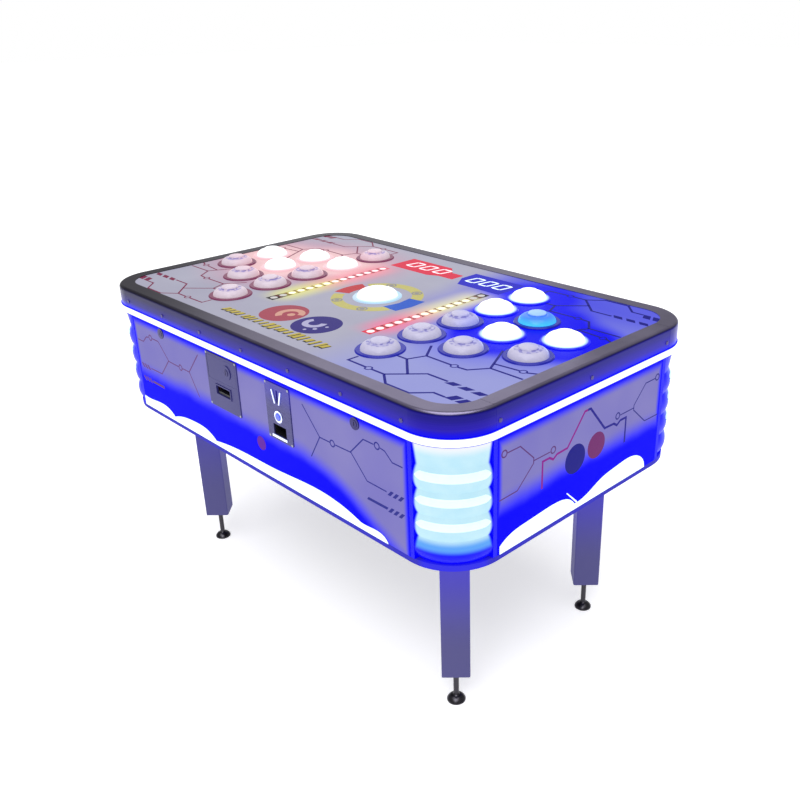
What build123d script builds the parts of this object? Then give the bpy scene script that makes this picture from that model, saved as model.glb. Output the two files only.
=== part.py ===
"""Light-up dome-button game table: a cabinet on four square legs under a hinged playfield lid.

Millimetres. +X runs along the table, +Z is up, and the coin side faces -Y. The origin is on the floor,
under the middle of the table. The lid and the access door are drawn closed with their cam locks
unlocked, the buttons up and the levelling feet at their working height.
"""

import os
from math import cos, radians, sin

from build123d import *

# ---- Driving dimensions of the table
TABLE_LENGTH = 1220.0  # over the steel rim, along X
TABLE_WIDTH = 740.0  # over the steel rim, along Y
TABLE_HEIGHT = 750.0  # floor to the top face of the steel rim
CORNER_RADIUS = 105.0  # plan radius of the rim's corners

# ---- Lid: steel rim, playfield sheet and playfield board
RIM_SHEET = 1.5  # thickness of the folded steel
RIM_FLANGE = 38.0  # width of the flat frame round the playfield
RIM_SKIRT = 46.0  # height of the rim's outer face
RIM_FOLD_RADIUS = 8.0  # outer radius of the fold between flange and skirt
SHEET_THICKNESS = 4.0  # printed acrylic over the board
BOARD_THICKNESS = 18.0
BATTEN_WIDTH = 22.0  # glued strip under the board's edge
LID_GAP = 0.4  # closed lid to cabinet
RIM_SCREW_Z = 719.0
RIM_SCREW_PITCH, RIM_SCREW_END_PITCH = 163.0, 255.0  # along the sides and along the ends
RIM_SEAM = 0.6  # weld line beside each corner piece

# ---- Cabinet body
STRIP_HEIGHT = 17.0  # light strip under the rim
STRIP_PROUD = 2.0  # strip beyond the rim's face
BODY_INSET = 5.0  # body's face behind the rim's face
PANEL_THICKNESS = 7.0  # edge-lit printed panel
WALL_THICKNESS = 15.0  # plywood wall behind the panel
BASE_THICKNESS = 12.0
BASE_BOTTOM = 434.0  # floor to the underside of the base board
COVER_THICKNESS = 4.0  # moulded corner light cover
COVER_FLANGE = 9.7  # flat edge of a corner cover, beside the panels
POST_INNER, POST_OUTER = 60.0, 78.0  # radii of the bent corner posts
POST_LEG = 40.0  # straight end of a corner post, behind a wall
LOBE_NOTCHES = (640.0, 592.0, 543.0, 495.0)  # heights of the valleys between a cover's lobes
LOBE_DEPTH = 7.0
CORNER_LIGHT = (2.0, 22.0, 200.0)  # light board behind each corner cover

# ---- Legs and levelling feet
LEG_TUBE = 60.0
LEG_WALL = 2.5
LEG_X, LEG_Y = 463.0, 222.0
LEG_BOTTOM = 84.0
LEG_PLATE, LEG_PLATE_THICKNESS = 110.0, 6.0
LEG_BOLT_OFFSET = 42.0
LEG_PLUG = 8.0  # threaded plug closing the tube's foot
BOLT_RADIUS, BOLT_HEAD, BOLT_HEAD_HEIGHT = 4.0, 7.5, 5.3
FOOT_STEM, FOOT_PAD, FOOT_TOP = 6.0, 20.0, 128.0

# ---- Dome buttons
BUTTON_COLUMNS = {267.0: (-222, -111, 0, 111, 222), 384.0: (-111, 0, 111), 501.0: (-55.5, 55.5)}
DOME_RADIUS, RING_RADIUS = 40.0, 50.5
CENTRE_DOME_RADIUS, CENTRE_RING_RADIUS = 47.0, 57.0
DOME_HEIGHT = 23.0  # crown above the playfield
RING_HEIGHT = 3.0
CAP_SKIRT = 14.0  # cap wall below the playfield
CAP_WALL = 2.5
CAP_GAP = 0.6  # cap to ring, all round
CROWN_RADIUS, CROWN_HEIGHT, CROWN_SLOTS = 20.0, 7.0, 8  # raised crown, with light slots round it
DOME_TRAVEL = 4.0
STEM_RADIUS, STEM_BOTTOM = 7.5, 711.0
SLIDING_GAP = 0.06  # radial running clearance of stems, plugs and pins
HOUSING_FLOOR, HOUSING_FLOOR_TOP = 714.0, 717.0
COLLAR_BOTTOM, COLLAR_TOP, COLLAR_RADIUS = 738.0, 740.0, 14.0  # spring seat on the stem
SPRING_RADIUS, SPRING_WIRE, SPRING_TURNS = 11.5, 0.7, 4
RING_NUT_HEIGHT = 9.0

# ---- Displays
SCORE_LEFT = [(-184, 287), (-184, 203), (-48, 203), (-20, 216), (27, 216), (27, 257), (-12, 257), (-42, 287)]
SCORE_RIGHT = [(38, 292), (38, 240), (64, 198), (196, 198), (196, 292)]
BAR_X, BAR_Y, BAR_SIZE = 172.0, 0.0, (27.0, 360.0)
DISPLAY_DEPTH = 26.0

# ---- Hinges and locks
HINGE_X = 330.0
HINGE_WIDTH = 60.0
HINGE_AXIS_OUT = 5.5  # hinge axis behind the rim's rear face
HINGE_AXIS_Z = 700.0
HINGE_PAD_FOOT = 640.0
KNUCKLE_RADIUS, PIN_RADIUS = 5.0, 3.0
LOCK_X, LOCK_Z = 356.0, 668.0
LOCK_BARREL, LOCK_PLUG, LOCK_BEZEL = 9.5, 7.0, 12.5
CAM_LENGTH, CAM_HALF_WIDTH, CAM_THICKNESS = 35.0, 9.0, 3.0

# ---- Coin acceptor and ticket plate on the front
PLATE_PROUD = 3.0
SCREW_HEAD, SCREW_SHANK = 2.7, 1.6
COIN_X, COIN_SIZE, COIN_Z = 113.0, (84.0, 127.0), 611.5
COIN_SLOT = (4.8, 30.0)
COIN_SLOT_Z = 647.0
REJECT_Z, REJECT_RADIUS, REJECT_TRAVEL = 604.0, 9.0, 4.0
RETURN_SIZE, RETURN_Z = (44.0, 24.0), 572.0
TICKET_X, TICKET_SIZE, TICKET_Z = -94.0, (122.0, 127.0), 616.5
DOOR_SIZE, DOOR_Z = (110.0, 55.0), 646.5
DOOR_LOCK_X, DOOR_LOCK_Z, DOOR_LOCK_PLUG = -73.0, 648.0, 8.0
DOOR_PIN = 1.0
MOUTH_SIZE, MOUTH_Z = (55.0, 20.0), 597.0
SLOT_BACK_Y, CHUTE_FRONT_Y, CHUTE_FOOT_Z = -302.0, -326.0, 540.0  # drop chute behind the coin slot
CHUTE_WIDTH = 10.0
REJECT_BORE_Y, CUP_BACK_Y = -338.0, -332.0
MECHANISM_BACK_Y = -290.0
DISPENSER_BACK_Y, TICKET_STRIP = -250.0, 32.0
CASH_BOX_X, CASH_BOX_Y, CASH_BOX_TOP, CASH_BOX_SHEET = (-150.0, 165.0), (-340.0, -238.0), 534.0, 2.0

# ---- Electrics
SUPPLY_X, SUPPLY_Y, SUPPLY_SIZE = -400.0, 90.0, (200.0, 100.0, 48.0)
SUPPLY_SHEET, SUPPLY_LID = 2.0, 1.5
SPEAKER_X, SPEAKER_Y = 300.0, 60.0
CONTROLLER_X, CONTROLLER_Y, CONTROLLER_SIZE = -140.0, 110.0, (180.0, 120.0)
INLET_X, INLET_Z, INLET_SIZE = 420.0, 560.0, (50.0, 66.0)
ROCKER_TILT = 7.0  # either way from level

# ---- Levels and faces that follow from the driving dimensions
HALF_X, HALF_Y = TABLE_LENGTH / 2, TABLE_WIDTH / 2
SKIRT_BOTTOM = TABLE_HEIGHT - RIM_SKIRT
STRIP_TOP = SKIRT_BOTTOM - LID_GAP
PANEL_TOP = SKIRT_BOTTOM - STRIP_HEIGHT
SHEET_TOP = TABLE_HEIGHT - RIM_SHEET
BOARD_TOP = SHEET_TOP - SHEET_THICKNESS
BOARD_BOTTOM = BOARD_TOP - BOARD_THICKNESS
BATTEN_BOTTOM = STRIP_TOP + 2 * LID_GAP
BASE_TOP = BASE_BOTTOM + BASE_THICKNESS
BODY_X, BODY_Y = HALF_X - BODY_INSET, HALF_Y - BODY_INSET
BODY_RADIUS = CORNER_RADIUS - BODY_INSET
CORNER_X, CORNER_Y = BODY_X - BODY_RADIUS, BODY_Y - BODY_RADIUS
PANEL_BACK_X, PANEL_BACK_Y = BODY_X - PANEL_THICKNESS, BODY_Y - PANEL_THICKNESS
WALL_BACK_X, WALL_BACK_Y = PANEL_BACK_X - WALL_THICKNESS, PANEL_BACK_Y - WALL_THICKNESS
PANEL_HALF_X, PANEL_HALF_Y = CORNER_X - 10, CORNER_Y - 10
HINGE_AXIS_Y = HALF_Y + HINGE_AXIS_OUT
CORNERS = [(1, -1), (1, 1), (-1, 1), (-1, -1)]


# ---- Small shape helpers
def block(x0, x1, y0, y1, z0, z1):
    centre = Pos((x0 + x1) / 2, (y0 + y1) / 2, (z0 + z1) / 2)
    return centre * Box(abs(x1 - x0), abs(y1 - y0), abs(z1 - z0))


def post(x, y, z0, z1, radius):
    return Pos(x, y, (z0 + z1) / 2) * Cylinder(radius, z1 - z0)


def rod_x(y, z, x0, x1, radius):
    return Pos((x0 + x1) / 2, y, z) * Rot(0, 90, 0) * Cylinder(radius, x1 - x0)


def rod_y(x, z, y0, y1, radius):
    return Pos(x, (y0 + y1) / 2, z) * Rot(90, 0, 0) * Cylinder(radius, y1 - y0)


def slab(half_x, half_y, radius, z0, z1):
    outline = RectangleRounded(2 * half_x, 2 * half_y, radius)
    return Pos(0, 0, z0) * extrude(outline, z1 - z0)


def turned(profile_lines, degrees=360):
    """Solid of revolution about Z of a closed outline drawn in the XZ plane."""
    outline = Plane.XZ * make_face(profile_lines)
    return revolve(outline, Axis.Z, revolution_arc=degrees)


def group(solids):
    return Compound(children=[s for item in solids for s in item.solids()])


def half_turn(shape):
    return Rot(0, 0, 180) * shape


# ---- Outlines of the lit panels along the foot of each side, from left to right as seen from outside
LONG_LIGHT_TOP = [
    [(-494.5, 470), (-430, 472), (-375, 470), (-348, 456)],
    [(-348, 456), (-313, 467), (-250, 474), (-200, 472), (-160, 455)],
    [(-160, 455), (-60, 466), (80, 470), (235, 479), (350, 461)],
    [(350, 461), (400, 461), (424, 456), (434, BASE_TOP)],
]
END_LIGHT_TOP = [
    [(-248, 462), (-222, 475), (-162, 482), (-90, 485), (-50, 477), (-29, 458)],
    [(-29, 458), (14, 464), (57, 480), (110, 488), (180, 486), (206, 468), (214, BASE_TOP)],
]
END_LIGHT_SLIT = [(-56, 492), (-54, 492.5), (-20, 460), (-24, 459)]


def light_outline(top_runs):
    start = (top_runs[0][0][0], BASE_TOP)
    finish = top_runs[-1][-1]
    lines = [Line(start, top_runs[0][0])]
    lines += [Spline(*run) for run in top_runs]
    lines.append(Line(finish, start))
    return make_face(lines)


def light_panel(outline, face, thickness):
    """A panel for the front (face 'front') or the right end, standing 1 mm proud of the printed panel."""
    if face == "front":
        plane = Plane(origin=(0, -PANEL_BACK_Y, 0), x_dir=(1, 0, 0), z_dir=(0, -1, 0))
    else:
        plane = Plane(origin=(PANEL_BACK_X, 0, 0), x_dir=(0, 1, 0), z_dir=(1, 0, 0))
    return extrude(plane * outline, thickness)


def lower_light_panels():
    front = light_panel(light_outline(LONG_LIGHT_TOP), "front", PANEL_THICKNESS + 1)
    slit = make_face(Polyline(*END_LIGHT_SLIT, close=True))
    end = light_panel(light_outline(END_LIGHT_TOP) + slit, "end", PANEL_THICKNESS + 1)
    return group([front, half_turn(front), end, half_turn(end)])


# ---- Openings that pass through both the wall and the printed panel
def front_openings():
    depth = (-BODY_Y - 5, -WALL_BACK_Y + 1)
    width, height = COIN_SIZE[0] - 10, COIN_SIZE[1] - 10
    coin = block(COIN_X - width / 2, COIN_X + width / 2, *depth, COIN_Z - height / 2, COIN_Z + height / 2)
    reach = DOOR_SIZE[0] / 2 - 3
    foot, head = MOUTH_Z - MOUTH_SIZE[1] / 2 - 3, DOOR_Z + DOOR_SIZE[1] / 2 - 3
    openings = coin + block(TICKET_X - reach, TICKET_X + reach, *depth, foot, head)
    for side in (-1, 1):
        openings += rod_y(side * LOCK_X, LOCK_Z, *depth, LOCK_BARREL + 0.3)
    for x, z in plate_screw_places():
        openings += rod_y(x, z, *depth, SCREW_SHANK + 0.05)
    return openings


def rear_openings():
    """Hole for the mains inlet's body."""
    half_width, half_height = INLET_SIZE[0] / 2 - 6, INLET_SIZE[1] / 2 - 6
    spans = (WALL_BACK_Y - 1, BODY_Y + 1)
    return block(
        INLET_X - half_width, INLET_X + half_width, *spans, INLET_Z - half_height, INLET_Z + half_height
    )


def hinge_pad_gaps():
    """Notches in the rear printed panel round the pads of the lid hinges."""
    half = HINGE_WIDTH / 2 + 1
    notch = block(-half, half, PANEL_BACK_Y, BODY_Y + 1, HINGE_PAD_FOOT - 1, PANEL_TOP + 1)
    return Pos(-HINGE_X, 0, 0) * notch + Pos(HINGE_X, 0, 0) * notch


# ---- Cabinet body
def base_board():
    board = slab(BODY_X - 1, BODY_Y - 1, BODY_RADIUS + 12, BASE_BOTTOM, BASE_TOP)
    for sx, sy in CORNERS:
        for bolt_x, bolt_y in leg_bolt_places(sx, sy):
            board -= post(bolt_x, bolt_y, BASE_BOTTOM - 1, BASE_TOP + 1, BOLT_RADIUS + 0.25)
    for slot in range(8):
        x = SUPPLY_X - 70 + 20 * slot
        board -= block(x - 3, x + 3, SUPPLY_Y - 35, SUPPLY_Y + 35, BASE_BOTTOM - 1, BASE_TOP + 1)
    for ring, count in ((0, 1), (16, 6), (32, 12)):
        for hole in range(count):
            angle = radians(360 * hole / count)
            x, y = SPEAKER_X + ring * cos(angle), SPEAKER_Y + ring * sin(angle)
            board -= post(x, y, BASE_BOTTOM - 1, BASE_TOP + 1, 4.5)
    return board


def corner_post(sx, sy):
    """Bent plywood quarter ring whose straight ends lie behind two walls."""
    ring = turned(
        Polyline(
            (POST_INNER, BASE_TOP),
            (POST_OUTER, BASE_TOP),
            (POST_OUTER, STRIP_TOP),
            (POST_INNER, STRIP_TOP),
            close=True,
        ),
        90,
    )
    along_x = block(-POST_LEG, 0, POST_INNER, POST_OUTER, BASE_TOP, STRIP_TOP)
    along_y = block(POST_INNER, POST_OUTER, -POST_LEG, 0, BASE_TOP, STRIP_TOP)
    return to_corner(ring + along_x + along_y, sx, sy)


def to_corner(shape, sx, sy):
    """Takes a shape drawn about the +X +Y corner's centre to one of the four corners."""
    placed = Pos(CORNER_X, CORNER_Y, 0) * shape
    if sx < 0:
        placed = mirror(placed, Plane.YZ)
    if sy < 0:
        placed = mirror(placed, Plane.XZ)
    return placed


def carcass_frame():
    front = block(-PANEL_HALF_X, PANEL_HALF_X, -PANEL_BACK_Y, -WALL_BACK_Y, BASE_TOP, STRIP_TOP)
    rear = block(-PANEL_HALF_X, PANEL_HALF_X, WALL_BACK_Y, PANEL_BACK_Y, BASE_TOP, STRIP_TOP)
    end = block(WALL_BACK_X, PANEL_BACK_X, -PANEL_HALF_Y, PANEL_HALF_Y, BASE_TOP, STRIP_TOP)
    front -= front_openings()
    rear -= rear_openings()
    return group([front, rear, end, half_turn(end), *[corner_post(sx, sy) for sx, sy in CORNERS]])


def front_graphic_panel():
    panel = block(-PANEL_HALF_X, PANEL_HALF_X, -BODY_Y, -PANEL_BACK_Y, BASE_TOP, PANEL_TOP)
    lit = light_panel(light_outline(LONG_LIGHT_TOP), "front", PANEL_THICKNESS + 1)
    return panel - lit - front_openings()


def rear_graphic_panel():
    panel = block(-PANEL_HALF_X, PANEL_HALF_X, PANEL_BACK_Y, BODY_Y, BASE_TOP, PANEL_TOP)
    lit = half_turn(light_panel(light_outline(LONG_LIGHT_TOP), "front", PANEL_THICKNESS + 1))
    return panel - lit - rear_openings() - hinge_pad_gaps()


def end_graphic_panels():
    panel = block(PANEL_BACK_X, BODY_X, -PANEL_HALF_Y, PANEL_HALF_Y, BASE_TOP, PANEL_TOP)
    slit = make_face(Polyline(*END_LIGHT_SLIT, close=True))
    lit = light_panel(light_outline(END_LIGHT_TOP) + slit, "end", PANEL_THICKNESS + 1)
    right = panel - lit
    return group([right, half_turn(right)])


# ---- Corner light covers: three bulging lobes over a rounded foot
def cover_edge(inset):
    """Height profile of the moulding, as (radius, height) lines from the top down."""
    crest, notch = BODY_RADIUS - inset, BODY_RADIUS - LOBE_DEPTH - inset
    lines = [Line((crest, PANEL_TOP), (notch, LOBE_NOTCHES[0]))]
    for top, bottom in zip(LOBE_NOTCHES, LOBE_NOTCHES[1:]):
        middle = top + 0.42 * (bottom - top)
        lines.append(ThreePointArc((notch, top), (crest, middle), (notch, bottom)))
    foot = (notch - 5, BASE_TOP)
    lines.append(ThreePointArc((notch, LOBE_NOTCHES[-1]), (crest - 0.5, 470), foot))
    return lines


def corner_light_cover(sx, sy):
    outer, inner = cover_edge(0), cover_edge(COVER_THICKNESS)
    top = Line(outer[0] @ 0, inner[0] @ 0)
    bottom = Line(outer[-1] @ 1, inner[-1] @ 1)
    cover = turned([*outer, *inner, top, bottom], 90)
    back = BODY_RADIUS - COVER_THICKNESS
    web = BODY_RADIUS - LOBE_DEPTH - COVER_THICKNESS - 4
    flange_x = block(-COVER_FLANGE, 0, back, BODY_RADIUS, BASE_TOP, PANEL_TOP)
    flange_y = block(back, BODY_RADIUS, -COVER_FLANGE, 0, BASE_TOP, PANEL_TOP)
    web_x = block(-3, 0, web, BODY_RADIUS, BASE_TOP, PANEL_TOP)
    web_y = block(web, BODY_RADIUS, -3, 0, BASE_TOP, PANEL_TOP)
    return to_corner(cover + flange_x + flange_y + web_x + web_y, sx, sy)


def corner_light_covers():
    return group([corner_light_cover(sx, sy) for sx, sy in CORNERS])


def light_strips():
    """The strip round the body, cut at the hinges, and a light board behind each corner cover."""
    out, back = STRIP_PROUD + BODY_INSET, PANEL_THICKNESS
    ring = slab(BODY_X + out, BODY_Y + out, BODY_RADIUS + out, PANEL_TOP, STRIP_TOP)
    ring -= slab(BODY_X - back, BODY_Y - back, BODY_RADIUS - back, PANEL_TOP - 1, STRIP_TOP + 1)
    half = HINGE_WIDTH / 2 + 2
    for side in (-1, 1):
        x = side * HINGE_X
        ring -= block(x - half, x + half, PANEL_BACK_Y - 1, HALF_Y + 10, PANEL_TOP - 1, STRIP_TOP + 1)
    thick, wide, tall = CORNER_LIGHT
    board = Pos(POST_OUTER + thick / 2, 0, (PANEL_TOP + BASE_TOP) / 2) * Box(thick, wide, tall)
    board = Rot(0, 0, 45) * board
    return group([ring, *[to_corner(board, sx, sy) for sx, sy in CORNERS]])


# ---- Legs
def leg_bolt_places(sx, sy):
    return [
        (sx * LEG_X + bx * LEG_BOLT_OFFSET, sy * LEG_Y + by * LEG_BOLT_OFFSET)
        for bx in (-1, 1)
        for by in (-1, 1)
    ]


def leg(sx, sy):
    """Square tube set diagonally, welded to a bolted top plate and closed by a threaded plug."""
    plate_bottom = BASE_BOTTOM - LEG_PLATE_THICKNESS
    tube = extrude(RectangleRounded(LEG_TUBE, LEG_TUBE, 4), plate_bottom - LEG_BOTTOM)
    bore_side = LEG_TUBE - 2 * LEG_WALL
    tube -= extrude(RectangleRounded(bore_side, bore_side, 2), plate_bottom - LEG_BOTTOM)
    plug = extrude(RectangleRounded(bore_side, bore_side, 2), LEG_PLUG)
    plug -= Pos(0, 0, LEG_PLUG / 2) * Cylinder(FOOT_STEM + SLIDING_GAP, LEG_PLUG)
    tube = Pos(sx * LEG_X, sy * LEG_Y, LEG_BOTTOM) * Rot(0, 0, 45) * (tube + plug)
    plate = Pos(sx * LEG_X, sy * LEG_Y, plate_bottom)
    plate = plate * extrude(RectangleRounded(LEG_PLATE, LEG_PLATE, 10), LEG_PLATE_THICKNESS)
    for bolt_x, bolt_y in leg_bolt_places(sx, sy):
        plate -= post(bolt_x, bolt_y, plate_bottom - 1, BASE_BOTTOM + 1, BOLT_RADIUS + 0.25)
    return tube + plate


def levelling_foot(sx, sy):
    outline = [
        Polyline((0, 0), (FOOT_PAD - 1, 0), (FOOT_PAD, 1), (FOOT_PAD, 3.5)),
        ThreePointArc((FOOT_PAD, 3.5), (FOOT_PAD - 4.5, 9.5), (FOOT_STEM + 2, 14)),
        Polyline((FOOT_STEM + 2, 14), (FOOT_STEM, 16), (FOOT_STEM, FOOT_TOP - 1)),
        Polyline((FOOT_STEM, FOOT_TOP - 1), (FOOT_STEM - 1, FOOT_TOP), (0, FOOT_TOP), (0, 0)),
    ]
    return Pos(sx * LEG_X, sy * LEG_Y, 0) * turned(outline)


def hexagon_prism(x, y, z0, z1, across_corners):
    return Pos(x, y, z0) * extrude(RegularPolygon(across_corners, 6), z1 - z0)


def plate_screw(x, z, face_y):
    """Countersunk-look screw through a front plate into the wall, head flush with the plate."""
    head = rod_y(x, z, face_y, face_y + 1.2, SCREW_HEAD)
    return head + rod_y(x, z, face_y + 1.2, face_y + 18, SCREW_SHANK)


def cabinet_fasteners():
    solids = []
    for sx, sy in CORNERS:
        for x, y in leg_bolt_places(sx, sy):
            under = BASE_BOTTOM - LEG_PLATE_THICKNESS
            bolt = hexagon_prism(x, y, under - BOLT_HEAD_HEIGHT, under, BOLT_HEAD)
            solids.append(bolt + post(x, y, under, BASE_TOP + 9, BOLT_RADIUS))
            nut = hexagon_prism(x, y, BASE_TOP, BASE_TOP + 6.5, BOLT_HEAD)
            solids.append(nut - post(x, y, BASE_TOP - 1, BASE_TOP + 8, BOLT_RADIUS + 0.05))
    solids += [plate_screw(x, z, -BODY_Y - PLATE_PROUD) for x, z in plate_screw_places()]
    return group(solids)


# ---- Lid
def button_places():
    """Name, centre and size class of each of the dome buttons."""
    places = [("dome_centre", 0.0, 0.0, True)]
    for side, player in ((-1, "left"), (1, "right")):
        number = 0
        for column_x, rows in BUTTON_COLUMNS.items():
            for row_y in rows:
                number += 1
                places.append((f"dome_{player}_{number:02d}", side * column_x, float(row_y), False))
    return places


def each_button(small, large):
    """The small shape at every player button and the large one at the centre."""
    return [Pos(x, y, 0) * (large if big else small) for _, x, y, big in button_places()]


def display_blocks(clearance, z0, z1):
    """The two score displays and the two bar displays as prisms, grown all round by a clearance."""
    outlines = [make_face(Polyline(*corners, close=True)) for corners in (SCORE_LEFT, SCORE_RIGHT)]
    outlines += [Pos(side * BAR_X, BAR_Y) * Rectangle(*BAR_SIZE) for side in (-1, 1)]
    if clearance:
        outlines = [offset(outline, clearance, kind=Kind.INTERSECTION) for outline in outlines]
    return [Pos(0, 0, z0) * extrude(outline, z1 - z0) for outline in outlines]


def playfield_board():
    edge = RIM_SHEET + 1.5
    top = BOARD_TOP
    board = slab(HALF_X - edge, HALF_Y - edge, CORNER_RADIUS - edge, BATTEN_BOTTOM, top)
    inner = edge + BATTEN_WIDTH
    board -= slab(HALF_X - inner, HALF_Y - inner, CORNER_RADIUS - inner, BATTEN_BOTTOM - 1, BOARD_BOTTOM)
    small = post(0, 0, BOARD_BOTTOM - 1, top + 1, DOME_RADIUS + 3)
    large = post(0, 0, BOARD_BOTTOM - 1, top + 1, CENTRE_DOME_RADIUS + 3)
    for hole in each_button(small, large):
        board -= hole
    for pocket in display_blocks(0.5, BOARD_BOTTOM - 1, top + 1):
        board -= pocket
    for x, y, turn in rim_screw_places():
        board -= Pos(x, y, RIM_SCREW_Z) * Rot(0, 0, turn) * rod_y(0, 0, -1, 20, 2.02)
    return board


def playfield_sheet():
    edge = RIM_SHEET + 7.5
    sheet = slab(HALF_X - edge, HALF_Y - edge, CORNER_RADIUS - edge, BOARD_TOP, SHEET_TOP)
    small = post(0, 0, BOARD_TOP - 1, SHEET_TOP + 1, DOME_RADIUS + 3)
    large = post(0, 0, BOARD_TOP - 1, SHEET_TOP + 1, CENTRE_DOME_RADIUS + 3)
    for hole in each_button(small, large):
        sheet -= hole
    for window in display_blocks(0.3, BOARD_TOP - 1, SHEET_TOP + 1):
        sheet -= window
    return sheet


def led_displays():
    return group(display_blocks(0.0, SHEET_TOP - DISPLAY_DEPTH, SHEET_TOP))


def rim_screw_places():
    """Each screw's place on the skirt, and the turn that points it inwards from the front."""
    along = [RIM_SCREW_PITCH * step for step in range(-3, 4)]
    across = [RIM_SCREW_END_PITCH * step for step in (-1, 0, 1)]
    front = [(x, -HALF_Y, 0) for x in along]
    rear = [(x, HALF_Y, 180) for x in along if abs(abs(x) - HINGE_X) > HINGE_WIDTH / 2 + 5]
    right = [(HALF_X, y, 90) for y in across]
    left = [(-HALF_X, y, -90) for y in across]
    return front + rear + right + left


def steel_rim():
    """Folded stainless frame in welded lengths, with a fine seam beside each corner piece."""
    rim = slab(HALF_X, HALF_Y, CORNER_RADIUS, SKIRT_BOTTOM, TABLE_HEIGHT)
    rim = fillet(rim.faces().sort_by(Axis.Z)[-1].edges(), RIM_FOLD_RADIUS)
    inside = RIM_SHEET
    hollow = slab(HALF_X - inside, HALF_Y - inside, CORNER_RADIUS - inside, SKIRT_BOTTOM - 10, SHEET_TOP)
    hollow = fillet(hollow.faces().sort_by(Axis.Z)[-1].edges(), RIM_FOLD_RADIUS - RIM_SHEET)
    rim -= hollow
    lap = RIM_FLANGE
    rim -= slab(HALF_X - lap, HALF_Y - lap, CORNER_RADIUS - lap, SHEET_TOP - 1, TABLE_HEIGHT + 1)
    seam_y = HALF_Y - CORNER_RADIUS
    for sx, sy in CORNERS:
        y0, y1 = sy * seam_y - RIM_SEAM / 2, sy * seam_y + RIM_SEAM / 2
        x0, x1 = sx * (HALF_X - RIM_SEAM), sx * (HALF_X + 1)
        rim -= block(x0, x1, y0, y1, SKIRT_BOTTOM - 1, TABLE_HEIGHT + 1)
        x0 = sx * (HALF_X - RIM_FLANGE - 1)
        rim -= block(x0, x1, y0, y1, TABLE_HEIGHT - RIM_SEAM, TABLE_HEIGHT + 1)
    for x, y, turn in rim_screw_places():
        rim -= Pos(x, y, RIM_SCREW_Z) * Rot(0, 0, turn) * rod_y(0, 0, -1, 3, 2.1)
    return rim


def rim_screws():
    head = rod_y(0, 0, -1.6, 0, 4.5)
    head = fillet(head.edges().sort_by(Axis.Y)[0], 1.2)
    screw = head + rod_y(0, 0, 0, 16, 2.0)
    return group([Pos(x, y, RIM_SCREW_Z) * Rot(0, 0, turn) * screw for x, y, turn in rim_screw_places()])


# ---- Dome buttons
def dome_cap(radius):
    """Translucent cap: a steep shoulder, a low crown with light slots, and a stem through the housing."""
    edge = radius - 0.1
    z = SHEET_TOP
    crown = CROWN_RADIUS * radius / DOME_RADIUS
    top, shoulder = z + DOME_HEIGHT, z + DOME_HEIGHT - CROWN_HEIGHT
    outer = [
        ThreePointArc((0, top), (crown * 0.55, top - 0.6), (crown - 1.8, top - 1.8)),
        Line((crown - 1.8, top - 1.8), (crown, shoulder)),
        ThreePointArc((crown, shoulder), (edge - 5.2, z + 12.4), (edge, z + 3.5)),
        Line((edge, z + 3.5), (edge, z - CAP_SKIRT)),
    ]
    inner_edge = edge - CAP_WALL
    under = shoulder - CAP_WALL
    inner = [
        Polyline((edge, z - CAP_SKIRT), (inner_edge, z - CAP_SKIRT), (inner_edge, z + 3.5)),
        ThreePointArc((inner_edge, z + 3.5), (inner_edge - 4.6, z + 10.6), (crown, under)),
        Polyline((crown, under), (STEM_RADIUS, under), (STEM_RADIUS, COLLAR_TOP)),
        Polyline((STEM_RADIUS, COLLAR_TOP), (COLLAR_RADIUS, COLLAR_TOP), (COLLAR_RADIUS, COLLAR_BOTTOM)),
        Polyline((COLLAR_RADIUS, COLLAR_BOTTOM), (STEM_RADIUS, COLLAR_BOTTOM), (STEM_RADIUS, STEM_BOTTOM)),
        Polyline((STEM_RADIUS, STEM_BOTTOM), (0, STEM_BOTTOM), (0, top)),
    ]
    cap = turned([*outer, *inner])
    slot = Pos(crown, 0, shoulder + 1.7) * Box(3.0, 8.0, 2.4)
    for number in range(CROWN_SLOTS):
        cap -= Rot(0, 0, 360 * (number + 0.5) / CROWN_SLOTS) * slot
    return cap


def button_housing(dome, ring):
    """Flanged cup that holds the cap, and the ring nut that clamps it under the board."""
    z = SHEET_TOP
    bore, barrel = dome + CAP_GAP, dome + 2
    cup = turned(
        Polyline(
            (bore, z + RING_HEIGHT - 0.6),
            (bore + 0.6, z + RING_HEIGHT),
            (ring - 2, z + RING_HEIGHT),
            (ring, z + 1),
            (ring, z),
            (barrel, z),
            (barrel, HOUSING_FLOOR),
            (STEM_RADIUS + SLIDING_GAP, HOUSING_FLOOR),
            (STEM_RADIUS + SLIDING_GAP, HOUSING_FLOOR_TOP),
            (bore, HOUSING_FLOOR_TOP),
            close=True,
        )
    )
    nut = turned(
        Polyline(
            (barrel + 0.05, BOARD_BOTTOM - RING_NUT_HEIGHT),
            (ring + 1.5, BOARD_BOTTOM - RING_NUT_HEIGHT),
            (ring + 1.5, BOARD_BOTTOM),
            (barrel + 0.05, BOARD_BOTTOM),
            close=True,
        )
    )
    return Compound(children=[*cup.solids(), *nut.solids()])


def button_housings():
    small = button_housing(DOME_RADIUS, RING_RADIUS)
    large = button_housing(CENTRE_DOME_RADIUS, CENTRE_RING_RADIUS)
    return group(each_button(small, large))


def return_spring():
    """Coil round the stem, drawn at its pressed length."""
    low = HOUSING_FLOOR_TOP + SPRING_WIRE
    rise = COLLAR_BOTTOM - DOME_TRAVEL - SPRING_WIRE - 0.5 - low
    path = Helix(pitch=rise / SPRING_TURNS, height=rise, radius=SPRING_RADIUS)
    wire = sweep(Plane(origin=path @ 0, z_dir=path % 0) * Circle(SPRING_WIRE), path)
    return Pos(0, 0, low) * wire


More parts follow.
